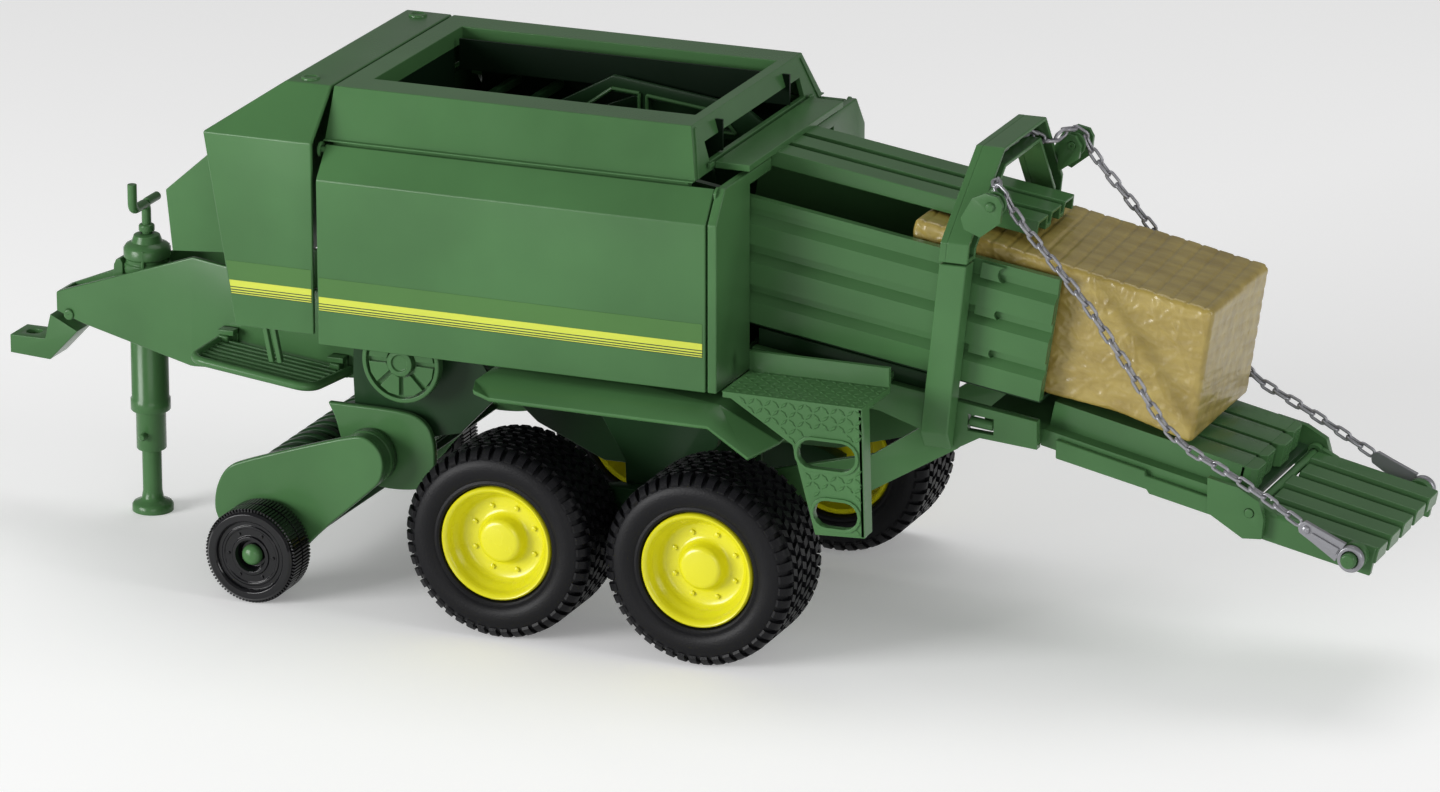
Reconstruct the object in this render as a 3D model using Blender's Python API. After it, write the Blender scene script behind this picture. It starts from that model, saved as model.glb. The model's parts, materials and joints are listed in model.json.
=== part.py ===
"""Toy large square baler with a tandem axle, a bale chute, a folding tail ramp on a chain and one bale.

Sizes are in millimetres, measured from the middle of the machine's track, with x growing towards the ramp,
y to the right of it and z up from the ground; X_SHIFT then moves x so that the origin lies under the
middle of the overall length. Names ending in _near are on the -Y side and those ending in _far mirror them.
"""

import math

import bmesh
import bpy
from mathutils import Matrix, Vector

MM = 0.001
X_SHIFT = -13.6
SIDES = (("near", -1), ("far", 1))

# Wheels
TYRE_R, TYRE_WIDTH, WHEEL_OUT_Y, RIM_R = 38.0, 39.0, 91.0, 22.5
AXLE_X = (("front", -29.8), ("rear", 52.5))
AXLE_R, HUB_BORE_R = 4.0, 4.1
BOGIE_X, BOGIE_Z, BOGIE_PIN_R = 11.35, 43.0, 4.6
GAUGE_X, GAUGE_R, GAUGE_IN_Y, GAUGE_OUT_Y = -134.0, 19.0, 71.0, 88.0

# Pickup
HUB_X, HUB_Z, HUB_R, SHAFT_R = -96.5, 55.2, 11.0, 3.6
REEL_X, REEL_Z, REEL_R, REEL_DISCS, REEL_PITCH = -132.0, 37.5, 15.5, 8, 15.0
FLYWHEEL_X, FLYWHEEL_Z = -81.0, 96.0

# Body
DOOR_X0, DOOR_X1, DOOR_Y, DOOR_FOLD_Z, DOOR_LOW_Z = -108.5, 51.2, 76.4, 169.8, 104.4
DOOR_HINGE_Y, DOOR_HINGE_Z = 66.4, 181.2
HOOD_LOW_Z, HOOD_FOLD_Z, ROOF_Z = 107.5, 183.4, 201.4
WALL = 2.0
GAP = 0.4

# Jack under the drawbar
JACK_X = -218.5

# Chute: u runs down the chute from its reference point, h stands square on its floor
CHUTE_X, CHUTE_Z, CHUTE_SLOPE = 60.0, 121.7, math.radians(8.5)
CHUTE_IN, CHUTE_H = 36.8, 48.6
BALE_U, BALE_LENGTH, BALE_HALF_WIDTH = 50.0, 121.0, 33.5
BALE_FRONT_H, BALE_REAR_H, SAG_U, SAG = 54.7, 49.8, 140.0, 3.6

# Ramp and its tail: u runs down the ramp from x = 172, h stands square on the tops of the ribs
RAMP_X, RAMP_Z, RAMP_SLOPE = 172.0, 102.6, math.radians(12.0)
RIB_PITCH, RIB_WIDTH, TAIL_DROP = 15.6, 13.0, 11.2
TAIL_PIVOT = (254.5, 72.2)
PEG_X, PEG_Z, PEG_R = 295.0, 60.4, 3.0
PULLEY_X, PULLEY_Y, PULLEY_Z, PULLEY_R = 154.5, 43.2, 181.6, 3.6
CHAIN_R = 1.9

GREEN = ("green_plastic", (0.055, 0.20, 0.06), 0.32, 0.0)
DARK_GREEN = ("dark_green_plastic", (0.035, 0.14, 0.045), 0.4, 0.0)
TYRE = ("black_tyre", (0.015, 0.015, 0.017), 0.6, 0.0)
RIM = ("yellow_plastic", (0.9, 0.78, 0.02), 0.3, 0.0)
BLACK = ("black_plastic", (0.02, 0.02, 0.022), 0.2, 0.0)
STRAW = ("straw_film", (0.62, 0.47, 0.13), 0.35, 0.0)
SILVER = ("silver_chain", (0.55, 0.56, 0.58), 0.35, 0.8)

for item in list(bpy.data.objects):
    bpy.data.objects.remove(item)


def material(spec):
    """The Principled material of that name, made once."""
    name, color, roughness, metallic = spec
    found = bpy.data.materials.get(name)
    if found is None:
        found = bpy.data.materials.new(name)
        found.use_nodes = True
        shader = found.node_tree.nodes["Principled BSDF"]
        shader.inputs["Base Color"].default_value = (*color, 1.0)
        shader.inputs["Roughness"].default_value = roughness
        shader.inputs["Metallic"].default_value = metallic
    return found


def place(x, y, z):
    """A point given in millimetres, as metres in the object's own frame."""
    return Vector(((x + X_SHIFT) * MM, y * MM, z * MM))


def from_bmesh(name, bm, spec, angle=40.0):
    bmesh.ops.recalc_face_normals(bm, faces=bm.faces)
    mesh = bpy.data.meshes.new(name)
    bm.to_mesh(mesh)
    bm.free()
    mesh.materials.append(material(spec))
    mesh.shade_smooth()
    mesh.set_sharp_from_angle(angle=math.radians(angle))
    item = bpy.data.objects.new(name, mesh)
    bpy.context.scene.collection.objects.link(item)
    return item


def solid(name, points, faces, spec):
    """A closed mesh from points in millimetres and its faces."""
    bm = bmesh.new()
    verts = [bm.verts.new(place(*p)) for p in points]
    for face in faces:
        bm.faces.new([verts[i] for i in face])
    return from_bmesh(name, bm, spec)


def prism_faces(count):
    """The two ends and the sides of an outline of that many points and its copy."""
    ends = [tuple(range(count)), tuple(range(count, 2 * count))]
    return ends + [(i, (i + 1) % count, count + (i + 1) % count, count + i) for i in range(count)]


def prism(name, outline, axis, low, high, spec):
    """An outline in the plane square to axis, extruded from low to high along it."""
    order = {"x": (2, 0, 1), "y": (0, 2, 1), "z": (0, 1, 2)}[axis]
    points = [[(a, b, t)[i] for i in order] for t in (low, high) for a, b in outline]
    return solid(name, points, prism_faces(len(outline)), spec)


def box(name, low, high, spec):
    outline = [(low[0], low[1]), (high[0], low[1]), (high[0], high[1]), (low[0], high[1])]
    return prism(name, outline, "z", low[2], high[2], spec)


def rod(name, start, end, radius, spec, sides=16):
    """A cylinder between two points."""
    a, b = place(*start), place(*end)
    bm = bmesh.new()
    turn = (b - a).to_track_quat("Z", "Y").to_matrix().to_4x4()
    bmesh.ops.create_cone(
        bm, cap_ends=True, segments=sides, radius1=radius * MM, radius2=radius * MM,
        depth=(b - a).length, matrix=Matrix.Translation((a + b) / 2) @ turn,
    )
    return from_bmesh(name, bm, spec)


def turned(name, profile, centre, axis, spec, sides=24):
    """A closed profile of (radius, distance along axis) points, turned about the axis through centre."""
    x, y, z = centre
    bm = bmesh.new()
    rings = []
    for radius, along in profile:
        ring = []
        for i in range(sides):
            a = 2 * math.pi * i / sides
            c, s = radius * math.cos(a), radius * math.sin(a)
            point = (x + c, y + along, z + s) if axis == "y" else (x + c, y + s, z + along)
            ring.append(bm.verts.new(place(*point)))
        rings.append(ring)
    for k, ring in enumerate(rings):
        after = rings[(k + 1) % len(rings)]
        for i in range(sides):
            j = (i + 1) % sides
            bm.faces.new((ring[i], ring[j], after[j], after[i]))
    return from_bmesh(name, bm, spec)


def combine(item, operation, others):
    """Joins or cuts item with others by exact Booleans, applies the result and removes the others."""
    for other in others:
        step = item.modifiers.new(operation.lower(), "BOOLEAN")
        step.operation, step.object, step.solver = operation, other, "EXACT"
    return applied(item, others)


def applied(item, helpers=()):
    """Replaces item's mesh by its evaluated mesh and removes the helpers."""
    bpy.context.view_layer.update()
    evaluated = item.evaluated_get(bpy.context.evaluated_depsgraph_get())
    mesh = bpy.data.meshes.new_from_object(evaluated)
    item.modifiers.clear()
    item.data = mesh
    for other in helpers:
        bpy.data.objects.remove(other)
    return item


def join(item, *others):
    return combine(item, "UNION", others)


def cut(item, *others):
    return combine(item, "DIFFERENCE", others)


def shell(item, thickness):
    """Gives an open sheet its thickness, grown inwards."""
    step = item.modifiers.new("shell", "SOLIDIFY")
    step.thickness, step.offset, step.use_even_offset = thickness * MM, -1.0, True
    return applied(item)


def sheared(item, slope, z0):
    """Leans item back: x grows by slope for each unit of height above z0."""
    for vert in item.data.vertices:
        vert.co.x += slope * (vert.co.z - z0 * MM)
    return item


def on_axis(item, x, y, z):
    """Moves item's origin to the joint axis that it turns about, leaving its shape where it is."""
    centre = place(x, y, z)
    item.data.transform(Matrix.Translation(-centre))
    item.location = centre
    return item


def sloped(x0, z0, slope, u, h):
    """(x, z) of a point u down a slope and h square above it."""
    return (x0 + u * math.cos(slope) + h * math.sin(slope), z0 - u * math.sin(slope) + h * math.cos(slope))


def chute(u, h):
    return sloped(CHUTE_X, CHUTE_Z, CHUTE_SLOPE, u, h)


def ramp(u, h):
    return sloped(RAMP_X, RAMP_Z, RAMP_SLOPE, u, h)


def section_prism(name, section, to_xz, u0, u1, spec):
    """A section of (y, h) points, extruded along a slope from u0 to u1."""
    points = []
    for u in (u0, u1):
        for y, h in section:
            x, z = to_xz(u, h)
            points.append((x, y, z))
    return solid(name, points, prism_faces(len(section)), spec)


def slope_box(name, to_xz, u0, u1, y0, y1, h0, h1, spec):
    return section_prism(name, [(y0, h0), (y1, h0), (y1, h1), (y0, h1)], to_xz, u0, u1, spec)


def mirrored(points, side):
    return [(side * y, z) for y, z in points]


# ---------------------------------------------------------------- drawbar and jack

def drawbar():
    """Two plates in a V that run on straight under the hood, with a shelf that carries the jack."""
    plan = [(-256, -6.5), (-188, -22), (-109, -22), (-109, -19.5), (-187.6, -19.5), (-253, -4.4)]
    plan += [(x, -y) for x, y in reversed(plan)]
    plates = prism("drawbar", plan, "z", 60, 120, GREEN)
    side = [(-257, 80.6), (-255.9, 88.4), (-188, 114.6), (-109, 104.0), (-109, 74), (-190, 69.8),
            (-242.6, 77.4)]
    combine(plates, "INTERSECT", [prism("side", side, "y", -40, 40, GREEN)])
    shelf = prism("shelf", [(-226, -11), (-208, -15), (-208, 15), (-226, 11)], "z", 84, 87, GREEN)
    cut(shelf, rod("hole", (JACK_X, 0, 80), (JACK_X, 0, 90), 8.2, GREEN))
    return join(plates, shelf)


def hitch_eye():
    """The towing eye: a flat tongue with a round hole, on a bracket under the drawbar's nose."""
    outline = [(-276.5, 61), (-259, 60), (-246.5, 73.2), (-258.4, 79.0), (-261, 68.5), (-276.5, 68.5)]
    eye = prism("hitch_eye", outline, "y", -7.5, 7.5, GREEN)
    return cut(eye, rod("hole", (-269.5, 0, 50), (-269.5, 0, 80), 3.2, GREEN))


def jack():
    """Telescopic drawbar jack: a fixed outer tube, a sliding tube with its lock pin, a foot and a crank."""
    centre = (JACK_X, 0, 0)
    casing = [(6.3, 42), (7.8, 42), (7.8, 103.6), (9.3, 104.6), (9.3, 112), (7, 114), (2.3, 114), (2.3, 110),
              (6.3, 110)]
    turned("jack_outer", casing, centre, "z", GREEN, 16)
    sleeve = [(4.2, 25.8), (6.0, 25.8), (6.0, 97), (4.2, 97)]
    tube = turned("jack_tube", sleeve, centre, "z", GREEN, 16)
    pins = [rod("pin", (JACK_X, s * 5.2, 32.6), (JACK_X, s * 9, 32.6), 1.4, GREEN, 10) for s in (-1, 1)]
    on_axis(join(tube, *pins), JACK_X, 0, 32.6)
    stem = [(8.3, 0), (8.3, 3.4), (7.2, 5.2), (3.9, 6), (3.9, 70), (0.4, 70), (0.4, 0)]
    foot = turned("jack_foot", stem, centre, "z", GREEN, 16)
    on_axis(foot, JACK_X, 0, 0)
    crank = rod("jack_crank", (JACK_X, 0, 105), (JACK_X, 0, 127), 2.0, GREEN)
    bar = rod("bar", (JACK_X, 10, 128), (JACK_X, -13, 128), 1.9, GREEN)
    grip = rod("grip", (JACK_X, -12, 127.2), (JACK_X, -12, 138.5), 1.9, GREEN)
    on_axis(join(crank, bar, grip), JACK_X, 0, 114)


# ---------------------------------------------------------------- body

def hood_front(z):
    return -156.3 + (HOOD_FOLD_Z - z) * 12.2 / 75.4


def nose_cover():
    """The narrow cowl in front of the hood, open behind and below."""
    y = 34
    top_z, low_z = 176.5, 124
    side = [(-193, 145), (-157.2, top_z), (hood_front(top_z) - GAP, top_z), (hood_front(low_z) - GAP, low_z),
            (-190.6, 120.5)]
    points = [(x, s * y, z) for s in (-1, 1) for x, z in side]
    faces = [(0, 1, 2, 3, 4), (5, 6, 7, 8, 9), (0, 1, 6, 5), (1, 2, 7, 6), (4, 0, 5, 9)]
    return shell(solid("nose_cover", points, faces, GREEN), WALL)


def hood():
    """The front cowl: two folded sides, a sloped front and a short roof, open behind and below."""
    points = []
    for s in (-1, 1):
        points += [(hood_front(HOOD_LOW_Z), s * 75, HOOD_LOW_Z), (-111, s * 75, HOOD_LOW_Z),
                   (-111, s * 75, HOOD_FOLD_Z), (-156.3, s * 75, HOOD_FOLD_Z),
                   (-111, s * 56, ROOF_Z), (-129.9, s * 56, ROOF_Z)]
    faces = [(0, 1, 2, 3), (3, 2, 4, 5), (6, 7, 8, 9), (9, 8, 10, 11), (5, 4, 10, 11), (3, 5, 11, 9),
             (0, 3, 9, 6)]
    cowl = shell(solid("hood", points, faces, GREEN), WALL)
    return cut(cowl, box("drawbar notch", (-160, -23, 100), (-138, 23, 118), GREEN))


def hatch_frame():
    """The raised frame round the open top, with flared sides, a turned-in lip and an open rear wall."""
    rings = [(-109.8, 42.4, 64.8, 182.7), (-109.8, 37.1, 55.7, ROOF_Z), (-99.8, 32.7, 41, ROOF_Z),
             (-99.8, 32.7, 41, 194.5), (-101.8, 34.7, 43, 194.5), (-101.8, 34.7, 43, 199.4),
             (-107.6, 35.3, 54.3, 199.4), (-107.6, 40.2, 62.6, 182.7)]
    points = []
    for x0, x1, y, z in rings:
        points += [(x0, -y, z), (x1, -y, z), (x1, y, z), (x0, y, z)]
    faces = []
    for k in range(len(rings)):
        a, b = 4 * k, 4 * ((k + 1) % len(rings))
        faces += [(a + i, a + (i + 1) % 4, b + (i + 1) % 4, b + i) for i in range(4)]
    rim = solid("hatch_frame", points, faces, GREEN)
    return cut(rim, box("rear window", (30, -48, 186), (46, 48, 193.4), GREEN))


def door(side, s):
    """A folded side door that hangs from its top edge."""
    section = [(DOOR_Y, DOOR_LOW_Z), (DOOR_Y, DOOR_FOLD_Z), (67.0, 181.6), (65.4, 180.4),
               (DOOR_Y - WALL, 169.1), (DOOR_Y - WALL, DOOR_LOW_Z)]
    panel = prism("door_" + side, mirrored(section, s), "x", DOOR_X0, DOOR_X1, GREEN)
    return on_axis(panel, 0, s * DOOR_HINGE_Y, DOOR_HINGE_Z)


def chassis():
    """The machine's floor, front bulkhead and side plates, with the cross tube that the bogies rock on."""
    floor = box("chassis", (-107, -73.6, 104.6), (51.4, 73.6, 107.2), DARK_GREEN)
    outline = [(-72, 105), (72, 105), (72, 169), (61, 181.5), (-61, 181.5), (-72, 169)]
    bulkhead = prism("bulkhead", outline, "x", -107, -104.8, DARK_GREEN)
    plate = [(-34, 106), (-12, 84), (2, 60), (3, 36.5), (20, 36.5), (22, 54), (40, 70), (49, 106)]
    plates = [prism("plate", plate, "y", *sorted((s * 34, s * 37.5)), DARK_GREEN) for s in (-1, 1)]
    tube = rod("tube", (BOGIE_X, -49.4, BOGIE_Z), (BOGIE_X, 49.4, BOGIE_Z), BOGIE_PIN_R, DARK_GREEN)
    hanger = [(-106.5, 106), (-60, 106), (-45, 84), (-62, 66), (-87, 60), (-89, 50), (-96.5, 46.4),
              (-104, 50), (-106, 60), (-107, 84)]
    plates += [prism("hanger", hanger, "y", *sorted((s * 45.5, s * 48.5)), DARK_GREEN) for s in (-1, 1)]
    join(floor, bulkhead, tube, *plates)
    holes = [rod("hole", (FLYWHEEL_X, -60, FLYWHEEL_Z), (FLYWHEEL_X, 60, FLYWHEEL_Z), 3.4, DARK_GREEN),
             rod("shaft hole", (HUB_X, -60, HUB_Z), (HUB_X, 60, HUB_Z), SHAFT_R + 0.4, DARK_GREEN)]
    holes += [box("wheel slot", (-98.5, s * 59.5 - 3.2, 100), (-63.5, s * 59.5 + 3.2, 110), DARK_GREEN)
              for s in (-1, 1)]
    return cut(floor, *holes)


def rear_panel():
    """The wall behind the doors, with the way through for the chute."""
    outline = [(-76.2, DOOR_LOW_Z), (76.2, DOOR_LOW_Z), (76.2, 170), (67.4, 182), (-67.4, 182), (-76.2, 170)]
    wall = prism("rear_panel", outline, "x", 51.9, 55.6, GREEN)
    way = box("way", (40, -42.6, 112), (70, 42.6, 177), GREEN)
    return cut(wall, way, box("notch", (40, -21, 170), (70, 21, 190), GREEN))


def chamber_web():
    """The gabled web with two windows that stands inside the top opening."""
    gable = [(-60, 172), (-57, 177.5), (-30, 192.5), (24, 186), (33, 180), (33, 172)]
    web = prism("chamber_web", gable, "y", 27, 29.4, DARK_GREEN)
    windows = [prism("window", [(-46, 176), (-30, 186), (-20, 185.5), (-20, 176)], "y", 20, 40, DARK_GREEN),
               prism("window", [(-14, 176), (-14, 184.6), (14, 181.6), (20, 176)], "y", 20, 40, DARK_GREEN)]
    return cut(web, *windows)


def flywheel(side, s):
    """A spoked disc beside the chassis, on a short shaft."""
    profile = [(0.5, 41), (3.0, 41), (3.0, 57.5), (16.2, 57.5), (16.2, 61.5), (5, 61.5), (5, 62.6),
               (0.5, 62.6)]
    outline = [(r, s * t) for r, t in profile]
    wheel = turned("flywheel_" + side, outline, (FLYWHEEL_X, 0, FLYWHEEL_Z), "y", GREEN, 20)
    return on_axis(wheel, FLYWHEEL_X, s * 60, FLYWHEEL_Z)


# ---------------------------------------------------------------- fenders, steps and platforms

def fender(side, s):
    """A folded strip above the tyres that drops away behind them."""
    stations = [((-42.4, 100.2), (-39, 98.2)), ((-35, 102.6), (-31.8, 95.6)), ((57.7, 102.6), (56.8, 95.4)),
                ((82.0, 91.0), (73.2, 85.0))]
    points = []
    for (top_x, top_z), (low_x, low_z) in stations:
        points += [(top_x, s * 50, top_z - 1.5), (top_x, s * 78, top_z - 1.5), (low_x, s * 88, low_z)]
    faces = []
    for k in range(3):
        a, b = 3 * k, 3 * k + 3
        faces += [(a, a + 1, b + 1, b), (a + 1, a + 2, b + 2, b + 1)]
    return shell(solid("fender_" + side, points, faces, GREEN), WALL)


def capsule(x0, x1, z0, z1):
    """An outline with half-round ends."""
    r = (z1 - z0) / 2
    ends = ((x1 - r, -90), (x0 + r, 90))
    return [(x + r * math.cos(math.radians(a + t)), z0 + r + r * math.sin(math.radians(a + t)))
            for x, a in ends for t in range(0, 181, 30)]


def step(side, s):
    """A tread with a kick board, a skirt plate with two slots and two arms to the chassis."""
    skirt = [(62.5, 110), (118.5, 110), (120, 59.5), (100.2, 58.5), (91, 92.5)]
    tread = prism("step_" + side, skirt, "y", min(s * 85.4, s * 88), max(s * 85.4, s * 88), GREEN)
    plates = [box("top", (62.5, min(s * 59, s * 87), 107.4), (118.5, max(s * 59, s * 87), 110), GREEN),
              box("kick", (62.5, min(s * 58, s * 60.2), 107.6), (118.5, max(s * 58, s * 60.2), 117.5), GREEN)]
    plates += [box("arm", (x, min(s * 43.2, s * 59), 107.8), (x + 8, max(s * 43.2, s * 59), 111), GREEN)
               for x in (66, 106)]
    join(tread, *plates)
    slots = [prism("slot", capsule(x0, x1, z0, z1), "y", s * 86.5 - 6, s * 86.5 + 6, GREEN)
             for x0, x1, z0, z1 in ((93, 116.3, 84.5, 95.5), (99.5, 117.3, 62, 72.5))]
    return cut(tread, *slots)


def platform(side, s):
    """A ribbed board in a tube frame, clipped to the side of the drawbar."""
    plan = [(-174.6, 24), (-118.4, 24), (-122.0, 50), (-125, 53.4), (-129, 54.4), (-168, 54.4),
            (-172.6, 53.2), (-174.6, 49)]
    board = prism("platform_" + side, [(x, s * y) for x, y in plan], "z", 79.2, 82.2, GREEN)
    for vert in board.data.vertices:
        vert.co.z -= 0.118 * (vert.co.x - (-147 + X_SHIFT) * MM)
    return on_axis(board, -147, s * 24, 80.7)


# ---------------------------------------------------------------- chute, arch and bale

def chute_side(side, s):
    """A side panel with three broad ribs and a plain top lip."""
    section = [(CHUTE_IN, 0), (41, 0), (42, 1), (42, 11.5), (39, 12.8), (39, 14.6), (42, 15.9), (42, 27.4),
               (39, 28.7), (39, 30.5), (42, 31.8), (42, 42.5), (40, 43.8), (40, CHUTE_H),
               (CHUTE_IN, CHUTE_H)]
    return section_prism("chute_" + side, mirrored(section, s), chute, -38, 112.6, GREEN)


def chute_top():
    """The top board with three ribs, and the cross flange that it hangs from."""
    low, floor, top, pitch, half = 55.2, 57.2, 61.2, 14.4, 5.8
    section = [(-pitch - half, low), (pitch + half, low), (pitch + half, top), (pitch - half, top),
               (pitch - half, floor), (half, floor), (half, top), (-half, top), (-half, floor),
               (half - pitch, floor), (half - pitch, top), (-pitch - half, top)]
    board = section_prism("chute_top", section, chute, -22, 94.5, GREEN)
    return join(board, box("flange", (43.4, -48, 183.4), (57.5, 48, 186.2), GREEN))


def chute_floor():
    """The plate that the bale slides on."""
    return slope_box("chute_floor", chute, -38, 111.5, -36.4, 36.4, -2.4, -0.4, DARK_GREEN)


def rail(side, s):
    """A frame rail under the chute, with the window of the ramp's socket and an arm down to the chassis."""
    upper = [(56.2, 100.8), (56.2, 113.2), (137.3, 101.8), (170.6, 97.4), (170.8, 86.4), (147.9, 88.2),
             (139.5, 83.4), (124.3, 88.8), (108, 94)]
    lower = [(24, 48), (60, 49), (104.7, 62.0), (139.5, 83.1), (140, 90), (128, 92), (104.6, 76), (60, 64),
             (34, 62)]
    y0, y1 = sorted((s * 38.0, s * 41.8))
    beam = join(prism("rail_" + side, upper, "y", y0, y1, GREEN), prism("arm", lower, "y", y0, y1, GREEN))
    window = [(143, 90.6), (153.4, 90.0), (153.4, 96.2), (143, 97.2)]
    return cut(beam, prism("window", window, "y", y0 - 3, y1 + 3, GREEN))


def window_pin(side, s):
    """A roller that lies in the socket's window."""
    return rod("window_pin_" + side, (143.4, s * 39.6, 93.9), (153.0, s * 39.6, 92.9), 2.0, GREEN, 12)


def arch():
    """The bridge over the chute that carries the chain's pulleys."""
    outer = [(45, 83.5), (51, 91), (51, 166), (22.5, 196.2)]
    inner = [(42.4, 83.5), (42.4, 162.4), (18.6, 187.6)]
    outline = [(-y, z) for y, z in outer] + [(y, z) for y, z in reversed(outer)]
    outline += [(y, z) for y, z in inner] + [(-y, z) for y, z in reversed(inner)]
    return sheared(prism("arch", outline, "x", 127.6, 138.5, GREEN), 0.1055, 91.9)


def pulley_bracket(side, s):
    """Two cheeks and a web on the back of the arch, with a hole for the pulley's pin."""
    inner = [(148.9, 173.4), (149.3, 170.8), (157.4, 176.6), (158.2, 181.6), (155.9, 185.4), (151.6, 186.2),
             (149.6, 184.0)]
    outer = [(152.5, 186.6), (157.5, 185.6), (159.2, 182.6), (158.4, 175.6), (150.6, 169.4), (144.2, 171.8),
             (142.9, 176.2), (147.4, 184.2)]
    cheeks = [prism("bracket_" + side, outer, "y", *sorted((s * 48.9, s * 50.9)), GREEN),
              prism("inner", inner, "y", *sorted((s * 37.6, s * 39.6)), GREEN)]
    web = prism("web", [(148.9, 173.4), (149.3, 170.8), (152.4, 173.2), (150.4, 176.6)], "y",
                *sorted((s * 38, s * 50)), GREEN)
    join(cheeks[0], cheeks[1], web)
    return cut(cheeks[0], rod("hole", (PULLEY_X, -60, PULLEY_Z), (PULLEY_X, 60, PULLEY_Z), 1.75, GREEN))


def pulley(side, s):
    """A grooved roller with its pin ends."""
    profile = [(0.3, 37), (1.6, 37), (1.6, 40.1), (3.2, 40.1), (3.2, 41.3), (1.9, 42.2), (1.9, 44.2),
               (3.2, 45.1), (3.2, 46.3), (1.6, 46.3), (1.6, 51.2), (0.3, 51.2)]
    outline = [(r, s * t) for r, t in profile]
    wheel = turned("pulley_" + side, outline, (PULLEY_X, 0, PULLEY_Z), "y", GREEN, 12)
    return on_axis(wheel, PULLEY_X, s * PULLEY_Y, PULLEY_Z)


def bale():
    """One wrapped bale, a moulded shell open underneath, lying in the chute and sagging over its end."""
    u0, u1, y = BALE_U, BALE_U + BALE_LENGTH, BALE_HALF_WIDTH
    side = [(u0, 0.5), (SAG_U, 0.5), (u1, -SAG), (u1, BALE_REAR_H), (u0, BALE_FRONT_H)]
    block = prism("bale", [chute(u, h) for u, h in side], "y", -y, y, STRAW)
    edge = block.modifiers.new("edge", "BEVEL")
    edge.width, edge.segments = 2.5 * MM, 2
    edge.limit_method, edge.angle_limit = "ANGLE", math.radians(30)
    wall = 3.0
    space = [(u0 + wall, -9), (u1 - wall, -9), (u1 - wall, BALE_REAR_H - wall),
             (u0 + wall, BALE_FRONT_H - wall)]
    return cut(block, prism("hollow", [chute(u, h) for u, h in space], "y", wall - y, y - wall, STRAW))


# ---------------------------------------------------------------- ramp, tail and chain

def ribbed(centres, width, top, groove, outer):
    """A deck of ribs as (y, h) points, lowest y first; outer lists the points beyond them."""
    outline = [(-y, h) for y, h in reversed(outer)]
    for k, y in enumerate(centres):
        if k:
            outline += [(centres[k - 1] + width / 2, groove), (y - width / 2, groove)]
        outline += [(y - width / 2, top), (y + width / 2, top)]
    return outline + list(outer)


def ramp_board():
    """The fixed ramp: a base plate in the rails' socket, four ribs and the ears of the tail's hinge."""
    centres = [(i - 1.5) * RIB_PITCH for i in range(4)]
    outer = [(centres[-1] + RIB_WIDTH / 2, -9.5), (36.2, -9.5), (36.2, -16)]
    deck = section_prism("ramp", ribbed(centres, RIB_WIDTH, 0, -4, outer), ramp, 1.6, 78.5, GREEN)
    parts = [slope_box("base", ramp, -22, 4, -36, 36, -15.6, -9.8, GREEN)]
    pivot_x, pivot_z = TAIL_PIVOT
    for s in (-1, 1):
        ear = [(238, 70.5), (252, 62.0), (259.4, 62.6), (260.2, 70.2), (258.2, 77.0), (250, 81.5), (238, 84)]
        parts.append(prism("ear", ear, "y", *sorted((s * 38.4, s * 41.6)), GREEN))
        parts.append(prism("lug", [(239, 72), (247, 68.5), (247, 79.0), (239, 81.0)], "y",
                           *sorted((s * 34, s * 39.5)), GREEN))
    join(deck, *parts)
    return cut(deck, rod("hole", (pivot_x, -60, pivot_z), (pivot_x, 60, pivot_z), 2.0, GREEN))


def tail():
    """The folding tail: five ribs on a thin deck, the hinge's knuckles and the chain's pegs."""
    top = -TAIL_DROP
    centres = [(i - 2) * RIB_PITCH for i in range(5)]
    outer = [(37.7, top - 11.5), (34.4, top - 11.5), (34.4, top - 6.4)]
    deck = section_prism("tail", ribbed(centres, RIB_WIDTH, top, top - 3.6, outer), ramp, 88, 137, GREEN)
    neck = [(254, 68.9), (264, 63.0), (264, 71.3), (255.6, 75.3)]
    pivot_x, pivot_z = TAIL_PIVOT
    parts = []
    for s in (-1, 1):
        y0, y1 = sorted((s * 34.6, s * 37.5))
        parts.append(rod("knuckle", (pivot_x, y0, pivot_z), (pivot_x, y1, pivot_z), 3.6, GREEN))
        parts.append(prism("neck", neck, "y", y0 + 0.1, y1 - 0.1, GREEN))
        parts.append(rod("boss", (PEG_X, s * 36, PEG_Z), (PEG_X, s * 41.2, PEG_Z), 5.2, GREEN))
        parts.append(rod("peg", (PEG_X, s * 40, PEG_Z), (PEG_X, s * 48.4, PEG_Z), PEG_R, GREEN))
    join(deck, *parts)
    cut(deck, rod("hole", (pivot_x, -60, pivot_z), (pivot_x, 60, pivot_z), 1.95, GREEN))
    return on_axis(deck, pivot_x, 0, pivot_z)


def tail_pin():
    """The hinge pin of the tail, from ear to ear."""
    x, z = TAIL_PIVOT
    return rod("tail_pin", (x, -42.2, z), (x, 42.2, z), 1.75, GREEN)


def hook(side, s):
    """A flat strap with an eye over the peg and a small eye for the chain."""
    start = (PEG_X - 20.0, PEG_Z + 11.0)
    angle = math.atan2(PEG_Z - start[1], PEG_X - start[0])
    outline = []
    for (x, z), radius, turn in ((start, 3.0, 90), ((PEG_X, PEG_Z), 5.0, -90)):
        for t in range(0, 181, 30):
            a = angle + math.radians(turn + t)
            outline.append((x + radius * math.cos(a), z + radius * math.sin(a)))
    strap = prism("hook_" + side, outline, "y", *sorted((s * 42.4, s * 45.6)), SILVER)
    return cut(strap, rod("eye", (PEG_X, -60, PEG_Z), (PEG_X, 60, PEG_Z), PEG_R + 0.4, SILVER))


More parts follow.
